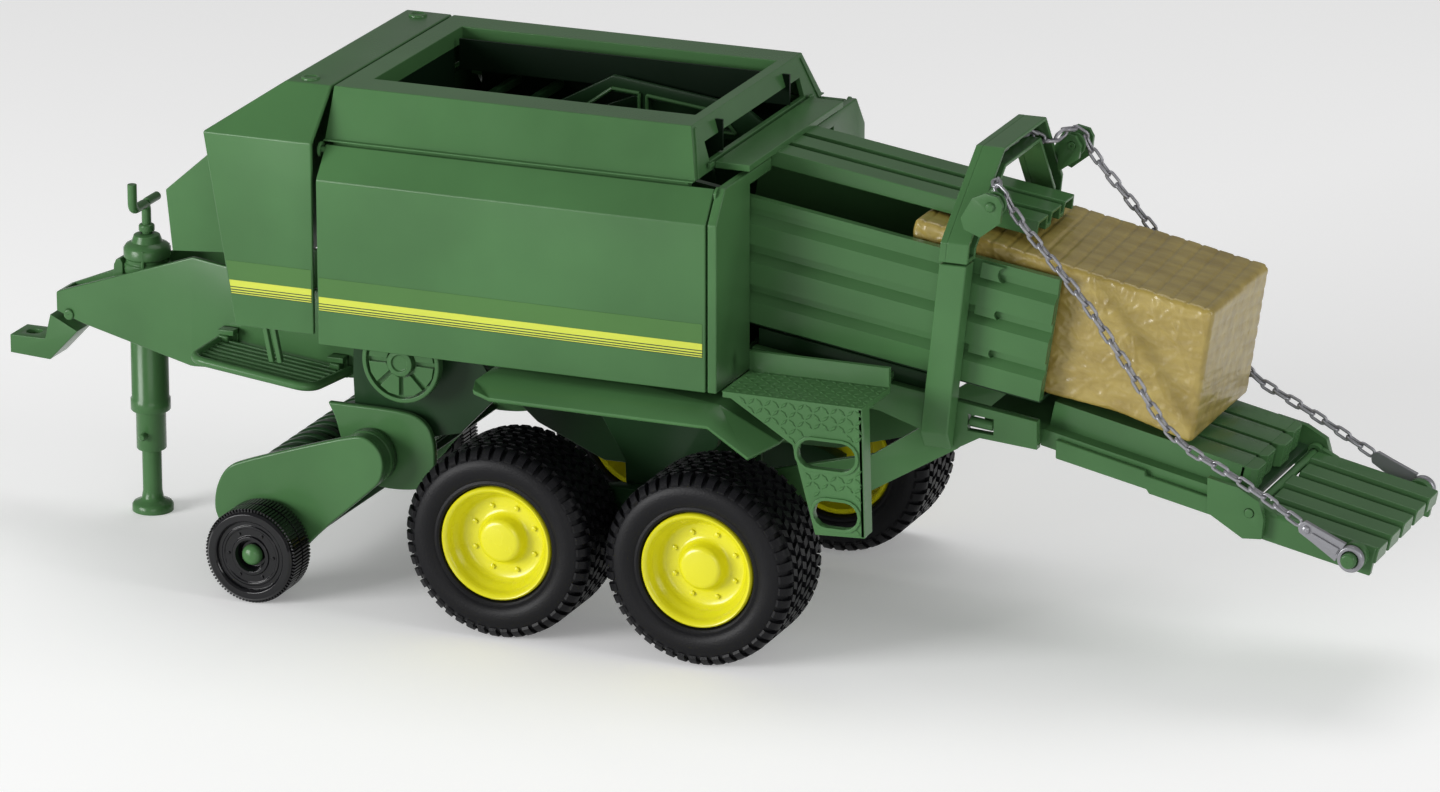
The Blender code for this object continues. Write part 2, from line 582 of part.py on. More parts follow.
def chain():
    """The chain from one hook up over its pulley, across behind the arch and down to the other."""
    strand = [(272.0, 43.6, 73.6), (262, 43.4, 79.2), (250, 43.3, 85.6), (240, 43.3, 90.4),
              (231.5, 43.3, 94.4), (223.5, 43.3, 100.4), (216.5, 43.2, 109.0), (205.0, 43.2, 126.0),
              (190.0, 43.2, 146.0), (175.0, 43.2, 162.6), (165.5, 43.2, 172.8), (159.9, 43.2, 180.0)]
    over = [(PULLEY_X + (PULLEY_R + 0.7) * math.cos(a), 43.2, PULLEY_Z + (PULLEY_R + 0.7) * math.sin(a))
            for a in (math.radians(20), math.radians(50), math.radians(80))]
    inside = [(153.2, 42.2, 187.8), (151.8, 38.8, 188.8), (151.2, 34.0, 189.0), (151.1, 26.0, 189.4),
              (151.1, 14.0, 189.4)]
    half = strand + over + inside
    points = [(x, -y, z) for x, y, z in half] + [(151.1, 0, 189.4)] + list(reversed(half))
    curve = bpy.data.curves.new("chain", "CURVE")
    curve.dimensions, curve.use_fill_caps = "3D", True
    curve.bevel_depth, curve.bevel_resolution = CHAIN_R * MM, 2
    spline = curve.splines.new("POLY")
    spline.points.add(len(points) - 1)
    for slot, point in zip(spline.points, points):
        slot.co = (*place(*point), 1.0)
    curve.materials.append(material(SILVER))
    item = bpy.data.objects.new("chain", curve)
    bpy.context.scene.collection.objects.link(item)
    return item


# ---------------------------------------------------------------- pickup

def cheek(side, s):
    """The fixed plate beside the pickup that its shaft turns in."""
    outline = [(-123.7, 73.6), (-85, 74.0), (-76.4, 71), (-71.6, 65.2), (-70.2, 55), (-72, 47), (-78.5, 43),
               (-98, 42), (-108, 52), (-110.6, 60), (-115, 67.4)]
    plate = prism("cheek_" + side, outline, "y", *sorted((s * 51.2, s * 54.6)), GREEN)
    spacer = rod("spacer", (-92, s * 48.9, 68), (-92, s * 52, 68), 3, GREEN, 16)
    join(plate, spacer)
    return cut(plate, rod("hole", (HUB_X, -60, HUB_Z), (HUB_X, 60, HUB_Z), SHAFT_R + 0.4, GREEN))


def pickup_frame():
    """Two side shields on a cross shaft, with hub drums, stub axles for the gauge wheels and a pan."""
    shield = [(-156.6, 37), (-152, 45.6), (-144, 50.8), (-101, 65.6), (-95, 66.8), (-88.5, 63.6),
              (-85.2, 57), (-86.4, 50.4), (-91.5, 45.4), (-116.7, 22.8), (-124, 12), (-134, 9.4),
              (-143, 12.4), (-155.5, 26)]
    shaft = rod("pickup_frame", (HUB_X, -69, HUB_Z), (HUB_X, 69, HUB_Z), SHAFT_R, GREEN)
    parts = []
    for s in (-1, 1):
        parts.append(prism("shield", shield, "y", *sorted((s * 66.4, s * 69.6)), GREEN))
        parts.append(rod("drum", (HUB_X, s * 55.1, HUB_Z), (HUB_X, s * 67, HUB_Z), HUB_R, GREEN))
        parts.append(rod("stub", (GAUGE_X, s * 68, GAUGE_R), (GAUGE_X, s * 84.5, GAUGE_R), 2.9, GREEN))
        parts.append(rod("cap", (GAUGE_X, s * 84.0, GAUGE_R), (GAUGE_X, s * 86.6, GAUGE_R), 4.2, GREEN))
    pan = [(-140, 12.8), (-128, 14.0), (-90, 43.2), (-92, 45.2), (-129, 16.6), (-140, 15.4)]
    parts.append(prism("pan", pan, "y", -50.4, 50.4, GREEN))
    front = [(-140.2, 12.6), (-128.2, 13.8), (-114, 24.6), (-116, 27.0), (-129.2, 16.8), (-140.2, 15.6)]
    parts.append(prism("pan front", front, "y", -67, 67, GREEN))
    return on_axis(join(shaft, *parts), HUB_X, 0, HUB_Z)


def pickup_reel():
    """The pickup's drum of thin discs on its own axle line."""
    half, thick, core, axle = REEL_DISCS * REEL_PITCH / 2, 2.6, 8, 3
    profile = [(0.5, -64), (axle, -64), (axle, -half), (core, -half)]
    for i in range(REEL_DISCS):
        y = -half + REEL_PITCH * (i + 0.5) - thick / 2
        profile += [(core, y), (REEL_R, y + 0.4), (REEL_R, y + thick - 0.4), (core, y + thick)]
    profile += [(core, half), (axle, half), (axle, 64), (0.5, 64)]
    return on_axis(turned("pickup_reel", profile, (REEL_X, 0, REEL_Z), "y", GREEN, 10), REEL_X, 0, REEL_Z)


def gauge_wheel(side, s):
    """A plain gauge wheel with a sunk hub."""
    i, o = GAUGE_IN_Y, GAUGE_OUT_Y
    profile = [(3.1, i + 1), (14.5, i + 1), (17.4, i), (GAUGE_R, i + 2), (GAUGE_R, o - 2), (17.4, o), (14, o),
               (12.8, o - 2.2), (6, o - 2.2), (5.2, o - 5), (3.1, o - 5)]
    wheel = turned("gauge_wheel_" + side, [(r, s * t) for r, t in profile], (GAUGE_X, 0, GAUGE_R), "y", BLACK)
    return on_axis(wheel, GAUGE_X, s * (i + o) / 2, GAUGE_R)


# ---------------------------------------------------------------- tandem wheels

def bogie(side, s):
    """The rocking beam between two wheels of one side, with its stub axles."""
    outline = [(-36, 33), (-36, 43), (-30, 46), (2, 53), (20.7, 53), (52, 46), (59, 43), (59, 33),
               (52, 31), (-29, 31)]
    beam = prism("bogie_" + side, outline, "y", *sorted((s * 42.4, s * 49.6)), DARK_GREEN)
    stubs = [rod("stub", (x, s * 46, TYRE_R), (x, s * 84, TYRE_R), AXLE_R, DARK_GREEN) for _, x in AXLE_X]
    join(beam, *stubs)
    cut(beam, rod("hole", (BOGIE_X, -70, BOGIE_Z), (BOGIE_X, 70, BOGIE_Z), BOGIE_PIN_R + 0.1, DARK_GREEN))
    return on_axis(beam, BOGIE_X, s * 46, BOGIE_Z)


def tyre(side, s, end, x):
    i, o = WHEEL_OUT_Y - TYRE_WIDTH, WHEEL_OUT_Y
    seat = RIM_R + 0.3
    profile = [(seat, i + 3), (29, i), (35.6, i + 1.8), (TYRE_R, i + 6), (TYRE_R, o - 6), (35.6, o - 1.8),
               (29, o), (seat, o - 3)]
    ring = turned(f"tyre_{side}_{end}", [(r, s * t) for r, t in profile], (x, 0, TYRE_R), "y", TYRE, 32)
    return on_axis(ring, x, s * (i + o) / 2, TYRE_R)


def rim(side, s, end, x):
    """A dished rim whose boss turns on the stub axle."""
    i, o = WHEEL_OUT_Y - TYRE_WIDTH, WHEEL_OUT_Y
    profile = [(HUB_BORE_R, i + 4), (9, i + 4), (9, i + 20), (20, i + 20), (20.5, i + 3.4), (RIM_R, i + 3.4),
               (RIM_R, o - 3.2), (20.6, o - 2.0), (18.4, o - 11), (9.6, o - 11), (8.6, o - 6.2),
               (HUB_BORE_R, o - 6.2)]
    wheel = turned(f"rim_{side}_{end}", [(r, s * t) for r, t in profile], (x, 0, TYRE_R), "y", RIM)
    return on_axis(wheel, x, s * (i + o) / 2, TYRE_R)


def build():
    drawbar()
    hitch_eye()
    jack()
    nose_cover()
    hood()
    hatch_frame()
    chassis()
    rear_panel()
    chamber_web()
    chute_top()
    chute_floor()
    arch()
    bale()
    ramp_board()
    tail()
    tail_pin()
    chain()
    pickup_frame()
    pickup_reel()
    paired = (door, flywheel, fender, step, platform, chute_side, rail, window_pin, pulley_bracket, pulley,
              hook, cheek, gauge_wheel, bogie)
    for side, s in SIDES:
        for make in paired:
            make(side, s)
        for end, x in AXLE_X:
            tyre(side, s, end, x)
            rim(side, s, end, x)


build()
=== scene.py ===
"""Looks of a toy large square baler: fine plastic shells, treaded tyres, a straw bale and a link chain.

Lengths are in millimetres in the machine's own frame, with x growing towards the ramp, y to its far side and
z up from the ground. at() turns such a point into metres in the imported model's frame.
"""

import json
import math
import random

import bmesh
import bpy
import numpy as np
from mathutils import Matrix, Vector, noise


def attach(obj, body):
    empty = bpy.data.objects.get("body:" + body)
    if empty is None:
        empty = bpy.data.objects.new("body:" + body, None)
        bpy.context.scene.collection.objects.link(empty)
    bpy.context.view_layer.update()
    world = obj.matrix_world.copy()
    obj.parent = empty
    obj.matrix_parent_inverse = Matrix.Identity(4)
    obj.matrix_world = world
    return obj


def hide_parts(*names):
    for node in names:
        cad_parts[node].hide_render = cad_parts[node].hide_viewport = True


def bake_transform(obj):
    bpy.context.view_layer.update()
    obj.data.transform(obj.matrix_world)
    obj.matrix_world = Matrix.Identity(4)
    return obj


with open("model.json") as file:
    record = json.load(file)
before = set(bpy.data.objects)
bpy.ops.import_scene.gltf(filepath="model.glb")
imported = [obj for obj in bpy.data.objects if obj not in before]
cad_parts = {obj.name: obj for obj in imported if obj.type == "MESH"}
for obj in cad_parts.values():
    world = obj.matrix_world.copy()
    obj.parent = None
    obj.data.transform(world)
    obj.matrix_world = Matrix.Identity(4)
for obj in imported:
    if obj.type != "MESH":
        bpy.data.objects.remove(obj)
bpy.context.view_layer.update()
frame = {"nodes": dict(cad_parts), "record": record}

MM = 0.001
X_SHIFT = -13.6
SIDES = (("near", -1), ("far", 1))
EDGE = 0.55
GLOSS_SPREAD = 0.06
TAU = 2 * math.pi

TYRE_R, WHEEL_IN, WHEEL_OUT, RIM_R = 38.0, 52.0, 91.0, 22.5
AXLE_X = (("front", -29.8), ("rear", 52.5))
GAUGE_X, GAUGE_R, GAUGE_IN, GAUGE_OUT = -134.0, 19.0, 71.0, 88.0
HUB_X, HUB_Z = -96.5, 55.2
REEL_X, REEL_Z, REEL_R = -132.0, 37.5, 15.5
FLYWHEEL_X, FLYWHEEL_Z = -81.0, 96.0
JACK_X = -218.5
DOOR_X0, DOOR_X1, DOOR_Y = -108.5, 51.2, 76.4
HOOD_FOLD_Z, HOOD_Y, HOOD_LEAN, ROOF_Z = 183.4, 75.0, 12.2 / 75.4, 201.4
CHUTE_X, CHUTE_Z, CHUTE_SLOPE = 60.0, 121.7, math.radians(8.5)
BALE_U, BALE_LENGTH, BALE_HALF_WIDTH = 50.0, 121.0, 33.5
BALE_FRONT_H, BALE_REAR_H, SAG_U, SAG = 54.7, 49.8, 140.0, 3.6
RAMP_X, RAMP_Z, RAMP_SLOPE = 172.0, 102.6, math.radians(12.0)
RIB_PITCH, TAIL_DROP = 15.6, 11.2
TAIL_PIVOT = (254.5, 72.2)
HUB_BORE = 4.1
PEG_X, PEG_Z = 295.0, 60.4
PULLEY_X, PULLEY_Y, PULLEY_Z, PULLEY_R = 154.5, 43.2, 181.6, 3.6
LINK_PITCH, LINK_LENGTH, LINK_WIDTH, LINK_WIRE = 5.5, 8.0, 4.3, 0.66
STRIPE_HOOD_Z, STRIPE_DOOR_Z = 125.7, 123.6


def at(x, y, z):
    """A point in millimetres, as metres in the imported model's frame."""
    return Vector(((x + X_SHIFT) * MM, y * MM, z * MM))


# ---- materials

def placed(name, data):
    """A new object in the scene."""
    made = bpy.data.objects.new(name, data)
    bpy.context.scene.collection.objects.link(made)
    return made


def polar(x, z, radius, angle):
    """The point at that angle on a circle round (x, z)."""
    return x + radius * math.cos(angle), z + radius * math.sin(angle)


def node_material(name):
    """A new material and helpers to add and join nodes in it."""
    made = bpy.data.materials.new(name)
    made.use_nodes = True
    return made, made.node_tree.nodes, made.node_tree.links


def noise_node(nodes, links, scale, detail=3.0, stretch=(1, 1, 1)):
    """Object-space noise of that many waves per metre."""
    place = nodes.new("ShaderNodeTexCoord")
    sized = nodes.new("ShaderNodeMapping")
    sized.inputs["Scale"].default_value = stretch
    made = nodes.new("ShaderNodeTexNoise")
    made.inputs["Scale"].default_value = scale
    made.inputs["Detail"].default_value = detail
    links.new(place.outputs["Object"], sized.inputs["Vector"])
    links.new(sized.outputs["Vector"], made.inputs["Vector"])
    return made


def ramp_node(nodes, links, source, low, high, dark, light):
    """A colour ramp between two shades over part of the source's range."""
    made = nodes.new("ShaderNodeValToRGB")
    made.color_ramp.elements[0].position, made.color_ramp.elements[1].position = low, high
    made.color_ramp.elements[0].color = (*dark, 1)
    made.color_ramp.elements[1].color = (*light, 1)
    links.new(source, made.inputs["Fac"])
    return made


def bumped(nodes, links, height, strength, distance):
    """A bump of that strength on the material's surface."""
    lift = nodes.new("ShaderNodeBump")
    lift.inputs["Strength"].default_value = strength
    lift.inputs["Distance"].default_value = distance
    links.new(height.outputs["Fac"], lift.inputs["Height"])
    links.new(lift.outputs["Normal"], nodes["Principled BSDF"].inputs["Normal"])
    return lift


def moulded(name, color, roughness, bump=0.04, grain=900.0, metallic=0.0, specular=0.5, shade=0.12):
    """Moulded plastic: faint colour drift, uneven gloss from handling and a fine orange-peel surface."""
    made, nodes, links = node_material(name)
    shader = nodes["Principled BSDF"]
    drift = noise_node(nodes, links, 14.0, 4.0)
    dark = tuple(c * (1 - shade) for c in color)
    light = tuple(min(1.0, c * (1 + shade)) for c in color)
    tint = ramp_node(nodes, links, drift.outputs["Fac"], 0.35, 0.65, dark, light)
    links.new(tint.outputs["Color"], shader.inputs["Base Color"])
    wear = noise_node(nodes, links, 60.0, 6.0)
    gloss = nodes.new("ShaderNodeMapRange")
    gloss.inputs["To Min"].default_value = max(0.02, roughness - GLOSS_SPREAD)
    gloss.inputs["To Max"].default_value = roughness + GLOSS_SPREAD
    links.new(wear.outputs["Fac"], gloss.inputs["Value"])
    links.new(gloss.outputs["Result"], shader.inputs["Roughness"])
    peel = noise_node(nodes, links, grain, 2.0)
    bumped(nodes, links, peel, bump, 0.0004)
    shader.inputs["Metallic"].default_value = metallic
    shader.inputs["Specular IOR Level"].default_value = specular
    return made


def straw_film():
    """Straw-coloured moulding under a glossy film: golden stalk streaks, crinkles and bright glints."""
    made, nodes, links = node_material("straw_film")
    shader = nodes["Principled BSDF"]
    streak = noise_node(nodes, links, 160.0, 6.0, (0.35, 1.0, 1.0))
    tint = ramp_node(nodes, links, streak.outputs["Fac"], 0.32, 0.68, (0.235, 0.170, 0.030),
                     (0.345, 0.262, 0.062))
    links.new(tint.outputs["Color"], shader.inputs["Base Color"])
    crinkle = noise_node(nodes, links, 330.0, 5.0)
    lift = bumped(nodes, links, crinkle, 0.32, 0.0005)
    links.new(lift.outputs["Normal"], shader.inputs["Coat Normal"])
    shader.inputs["Roughness"].default_value = 0.42
    shader.inputs["Coat Weight"].default_value = 0.4
    shader.inputs["Coat Roughness"].default_value = 0.14
    return made


GREEN = moulded("green_plastic", (0.050, 0.128, 0.045), 0.24, specular=0.22)
# A darker copy of the green with shadow painted in, for parts that lie in shade under and inside the
# machine.
PAINTED_SHADOW_GREEN = moulded("dark_green_plastic", (0.012, 0.036, 0.013), 0.32, specular=0.2)
# A near-black copy of the green with deep shadow painted in, for the inside of the open top.
PAINTED_DEEP_SHADOW_GREEN = moulded("painted_deep_shadow_green_plastic", (0.003, 0.010, 0.004), 0.4, specular=0.1)
YELLOW = moulded("yellow_plastic", (0.60, 0.57, 0.010), 0.26, shade=0.03)
RUBBER = moulded("tyre_rubber", (0.0045, 0.0045, 0.0055), 0.44, bump=0.25, grain=1500.0, specular=0.16)
BLACK = moulded("black_plastic", (0.004, 0.004, 0.005), 0.15, specular=0.4)
SILVER = moulded("silver_chain", (0.27, 0.27, 0.29), 0.32, metallic=0.5, bump=0.12)
DECAL = moulded("decal_yellow", (0.47, 0.52, 0.05), 0.32, specular=0.36, shade=0.04)
DECAL_GREEN = moulded("decal_green", (0.050, 0.138, 0.030), 0.25, specular=0.36, shade=0.05)
DECAL_DARK = moulded("decal_dark", (0.010, 0.030, 0.008), 0.3)
STRAW = straw_film()


# ---- mesh building

def add_solid(bm, points, faces):
    """Adds a closed shape given by points in millimetres."""
    verts = [bm.verts.new(at(*p)) for p in points]
    for face in faces:
        bm.faces.new([verts[i] for i in face])


def tube_faces(count, rings, looped=False):
    """Side faces between neighbouring rings of count points each."""
    faces = []
    for k in range(rings if looped else rings - 1):
        a, b = k * count, ((k + 1) % rings) * count
        faces += [(a + i, a + (i + 1) % count, b + (i + 1) % count, b + i) for i in range(count)]
    return faces


def add_rings(bm, rings, looped=False):
    """Adds a closed shape through rings of points, with end caps unless it is looped."""
    count = len(rings[0])
    faces = tube_faces(count, len(rings), looped)
    if not looped:
        faces += [tuple(range(count)), tuple(range(count * (len(rings) - 1), count * len(rings)))]
    add_solid(bm, [p for ring in rings for p in ring], faces)


def add_prism(bm, outline, axis, low, high):
    """An outline carried along an axis from low to high."""
    order = {"x": (2, 0, 1), "y": (0, 2, 1), "z": (0, 1, 2)}[axis]
    add_rings(bm, [[tuple((a, b, t)[i] for i in order) for a, b in outline] for t in (low, high)])


def add_box(bm, low, high):
    """A box between two corners."""
    outline = [(low[0], low[1]), (high[0], low[1]), (high[0], high[1]), (low[0], high[1])]
    add_prism(bm, outline, "z", low[2], high[2])


def add_section(bm, section, to_xz, u0, u1):
    """A section of (y, h) points run along a slope from u0 to u1."""
    rings = []
    for u in (u0, u1):
        rings.append([(to_xz(u, h)[0], y, to_xz(u, h)[1]) for y, h in section])
    add_rings(bm, rings)


def add_lathe(bm, profile, centre, axis="y", sides=64):
    """A profile of (radius, along) points turned about the axis through centre."""
    x, y, z = centre
    rings = []
    for radius, along in profile:
        ring = []
        for i in range(sides):
            c, s = radius * math.cos(TAU * i / sides), radius * math.sin(TAU * i / sides)
            ring.append((x + c, y + along, z + s) if axis == "y" else (x + c, y + s, z + along))
        rings.append(ring)
    add_rings(bm, rings, looped=True)


def add_wheel(bm, s, profile, x, z, sides=64):
    """A profile of (radius, distance out) points on side s, turned about the cross axis at (x, z)."""
    add_lathe(bm, [(radius, s * out) for radius, out in profile], (x, 0, z), sides=sides)


def wire_ring(centre, first, second, radius, sides):
    """Points round a circle in the plane of two unit directions."""
    turns = [TAU * i / sides for i in range(sides)]
    return [tuple(centre + radius * (first * math.cos(a) + second * math.sin(a))) for a in turns]


def add_sweep(bm, path, radius, sides=12):
    """A round bar along a list of points, with its section carried along without twist."""
    points = [Vector(p) for p in path]
    rings, side = [], None
    for k, point in enumerate(points):
        tangent = (points[min(k + 1, len(points) - 1)] - points[max(k - 1, 0)]).normalized()
        side = (side - tangent * side.dot(tangent)) if side else tangent.orthogonal()
        side.normalize()
        other = tangent.cross(side)
        rings.append(wire_ring(point, side, other, radius, sides))
    add_rings(bm, rings)


def rounded_path(points, radius, steps=6):
    """A path with each inner corner replaced by an arc-like curve of about that radius."""
    points = [Vector(p) for p in points]
    path = [points[0]]
    for before, corner, after in zip(points, points[1:], points[2:]):
        start = corner + (before - corner).normalized() * radius
        end = corner + (after - corner).normalized() * radius
        for i in range(steps + 1):
            t = i / steps
            path.append(start.lerp(corner, t).lerp(corner.lerp(end, t), t))
    return path + [points[-1]]


def softened(outline, rounds=2, keep=()):
    """An outline with its corners cut again and again into smooth curves, apart from the kept points."""
    marks = [(p, i in keep) for i, p in enumerate(outline)]
    for _ in range(rounds):
        cut = []
        for i, (point, sharp) in enumerate(marks):
            (px, pz), (nx, nz) = marks[i - 1][0], marks[(i + 1) % len(marks)][0]
            x, z = point
            if sharp:
                cut.append((point, True))
            else:
                cut += [((x * 0.75 + px * 0.25, z * 0.75 + pz * 0.25), False),
                        ((x * 0.75 + nx * 0.25, z * 0.75 + nz * 0.25), False)]
        marks = cut
    return [p for p, _ in marks]


def piece(name, bm, material, body, replaces=(), bevel=EDGE, sharp=32.0):
    """Turns bm into a shaded piece with rounded edges that rides on a body and stands for CAD nodes."""
    bmesh.ops.recalc_face_normals(bm, faces=bm.faces)
    mesh = bpy.data.meshes.new(name)
    bm.to_mesh(mesh)
    bm.free()
    mesh.materials.append(material)
    mesh.shade_smooth()
    made = placed(name, mesh)
    if bevel:
        edges(made, bevel, sharp)
    else:
        mesh.set_sharp_from_angle(angle=math.radians(sharp))
    if body:
        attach(made, body)
    if replaces:
        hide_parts(*replaces)
    return made


def edges(made, bevel, sharp):
    """Rounds a piece's edges that are sharper than the given angle."""
    step = made.modifiers.new("edges", "BEVEL")
    step.width, step.segments, step.limit_method = bevel * MM, 3, "ANGLE"
    step.angle_limit, step.harden_normals, step.use_clamp_overlap = math.radians(sharp), True, True


def cut_out(made, cutter):
    """Takes the cutter's solid out of a piece."""
    bmesh.ops.recalc_face_normals(cutter, faces=cutter.faces)
    mesh = bpy.data.meshes.new("cutter")
    cutter.to_mesh(mesh)
    cutter.free()
    tool = placed("cutter", mesh)
    step = made.modifiers.new("cut", "BOOLEAN")
    step.operation, step.solver, step.object = "DIFFERENCE", "EXACT", tool
    graph = bpy.context.evaluated_depsgraph_get()
    made.data = bpy.data.meshes.new_from_object(made.evaluated_get(graph), depsgraph=graph)
    made.modifiers.remove(step)
    bpy.data.objects.remove(tool)


def refined(node, material, bevel=EDGE):
    """A copy of a CAD node with its flat faces made whole again and its edges rounded."""
    source = frame["nodes"][node]
    bm = bmesh.new()
    bm.from_mesh(source.data)
    bmesh.ops.remove_doubles(bm, verts=bm.verts, dist=2e-6)
    bmesh.ops.dissolve_limit(bm, angle_limit=math.radians(0.6), verts=bm.verts, edges=bm.edges)
    body = next(b for b, nodes in frame["record"]["behaviour"]["bodies"].items() if node in nodes)
    return piece(node + "_shell", bm, material, body, [node], bevel)


def sloped(x0, z0, slope, u, h):
    """The (x, z) of a point u along and h above a falling slope."""
    return (x0 + u * math.cos(slope) + h * math.sin(slope), z0 - u * math.sin(slope) + h * math.cos(slope))


def chute(u, h):
    """A point of the chute, as (x, z)."""
    return sloped(CHUTE_X, CHUTE_Z, CHUTE_SLOPE, u, h)


def ramp(u, h):
    """A point of the ramp, as (x, z)."""
    return sloped(RAMP_X, RAMP_Z, RAMP_SLOPE, u, h)


# ---- body

def hood_front(z):
    """The x of the hood's leaning front edge at height z."""
    return -156.3 + (HOOD_FOLD_Z - z) * HOOD_LEAN


def hatch_frame():
    """The raised frame round the open top, with flared sides, a window behind and thin plates of painted
    shadow inside it.
    """
    rings = [(-109.8, 42.4, 64.8, 182.7), (-109.8, 37.1, 55.7, ROOF_Z), (-99.8, 32.7, 41, ROOF_Z),
             (-99.8, 32.7, 41, 194.5), (-101.8, 34.7, 43, 194.5), (-101.8, 34.7, 43, 199.4),
             (-107.6, 35.3, 54.3, 199.4), (-107.6, 40.2, 62.6, 182.7)]
    bm = bmesh.new()
    add_rings(bm, [[(x0, -y, z), (x1, -y, z), (x1, y, z), (x0, y, z)] for x0, x1, y, z in rings],
              looped=True)
    cutter = bmesh.new()
    add_box(cutter, (30, -48, 186), (46, 48, 193.4))
    made = piece("hatch_rim", bm, GREEN, "frame", ["hatch_frame"], bevel=0)
    cut_out(made, cutter)
    edges(made, EDGE, 32)
    bm = bmesh.new()
    for _, s in SIDES:
        add_box(bm, (-109.6, s * 62.5, 182.5), (42.2, s * 66.8, 183.1))
        add_box(bm, (-106.5, s * 61.0, 176.5), (39.5, s * 64.4, 182.5))
        add_box(bm, (42.2, s * 50.4 - 2.0, 184.6), (43.6, s * 50.4 + 2.0, 186.4))
        ridge = [(42.9, s * 59.6, 183.0), (42.9, s * 62.6, 183.0), (38.0, s * 54.2, 200.2),
                 (38.0, s * 52.4, 200.2)]
        add_rings(bm, [ridge, [(x - 2.0, y, z) for x, y, z in ridge]])
    piece("hatch_sill", bm, GREEN, "frame", bevel=0.25)
    # Thin plates just inside the opening's walls that carry painted shadow where the inside of the top lies
    # in shade.
    bm = bmesh.new()
    for _, s in SIDES:
        add_box(bm, (-97.6, s * 33.9 - 0.5, 186.5), (41.0, s * 33.9 + 0.5, 198.6))
        add_box(bm, (-98.0, s * 56.4 - 0.6, 118), (38.0, s * 56.4 + 0.6, 181.5))
    add_box(bm, (-100.9, -34, 150), (-99.9, 34, 198.6))
    piece("hatch_painted_shadow", bm, PAINTED_DEEP_SHADOW_GREEN, "frame", bevel=0)


def hood_details():
    """Two round bosses sunk in the roof's front corners."""
    bm = bmesh.new()
    for _, s in SIDES:
        profile = [(0.05, 0.3), (2.2, 0.3), (2.5, 0.8), (3.4, 0.8), (3.7, 0.3), (3.7, -0.8), (0.05, -0.8)]
        add_lathe(bm, profile, (-122.5, s * 49.5, ROOF_Z), "z", 32)
    piece("hood_bosses", bm, GREEN, "frame", bevel=0.15)


def stripes(name, left, right, top_z, y, body, slant=0.0):
    """A sticker of thin raised films: a brighter green band over one broad and three fine yellow lines."""
    bands = ((DECAL_GREEN, "band", ((0.0, 7.6),)),
             (DECAL_DARK, "ground", ((-5.6, 0.0),)),
             (DECAL, "lines", ((-2.5, 0.0), (-3.55, -2.9), (-4.5, -4.0), (-5.3, -4.95))))
    for material, part, heights in bands:
        bm = bmesh.new()
        proud = 0.24 if part == "lines" else 0.16
        for low, high in heights:
            z0, z1 = top_z + low, top_z + high
            outline = [(left - slant * (z0 - top_z), z0), (right, z0), (right, z1),
                       (left - slant * (z1 - top_z), z1)]
            add_prism(bm, outline, "y", y, y + math.copysign(proud, y))
        piece(f"{name}_{part}", bm, material, body, bevel=0)


def decals():
    """The stickers on both sides of the hood and on both doors."""
    for side, s in SIDES:
        left = hood_front(STRIPE_HOOD_Z) + 0.8
        stripes(f"hood_sticker_{side}", left, -111.6, STRIPE_HOOD_Z, s * HOOD_Y, "frame", HOOD_LEAN)
        stripes(f"door_sticker_{side}", DOOR_X0 + 0.7, DOOR_X1 - 1.2, STRIPE_DOOR_Z, s * DOOR_Y,
                f"door_{side}")


def door_hinges():
    """Round pin ends on the doors, in open C-shaped clips on the frame beside them."""
    for side, s in SIDES:
        bm = bmesh.new()
        for x0, x1 in ((-110.8, -108.2), (50.9, 51.8)):
            add_sweep(bm, [(x0, s * 67.2, 179.4), (x1, s * 67.2, 179.4)], 1.1)
        piece(f"door_pins_{side}", bm, GREEN, f"door_{side}", bevel=0.2)
        bm = bmesh.new()
        for x in (-110.7, 51.95):
            ring = [(s * (67.2 + r * math.cos(math.radians(t))), 179.4 + r * math.sin(math.radians(t)))
                    for r, turns in ((3.0, range(-60, 211, 30)), (1.7, range(210, -61, -30)))
                    for t in turns]
            add_prism(bm, ring, "x", x, x + 0.9)
        piece(f"door_clips_{side}", bm, GREEN, "frame", bevel=0.15)


def chamber():
    """Window rims on the web, and the cross beams and knotter plates that show inside the open top."""
    bm = bmesh.new()
    for outline in ([(-47.5, 174.8), (-30, 187.6), (-18.6, 186.8), (-18.6, 174.8)],
                    [(-15.4, 174.8), (-15.4, 186.2), (14.8, 182.8), (21.6, 174.8)]):
        path = [(x, 26.4, z) for x, z in outline]
        for a, b in zip(path, path[1:] + path[:1]):
            add_sweep(bm, [a, b], 0.7, 8)
    piece("chamber_web_rims", bm, GREEN, "frame", bevel=0)
    # The beams and plates inside the open top take the green with painted shadow.
    bm = bmesh.new()
    for x in (-84, -66):
        add_box(bm, (x, -58, 176.5), (x + 3, 58, 180.0))
    for y in (-24, -2, 48):
        add_prism(bm, [(-60, 140), (-57, 168), (-30, 179), (12, 176), (24, 168), (24, 140)], "y", y,
                  y + 2.2)
    piece("chamber_plates", bm, PAINTED_SHADOW_GREEN, "frame")


# ---- drawbar, jack and hitch

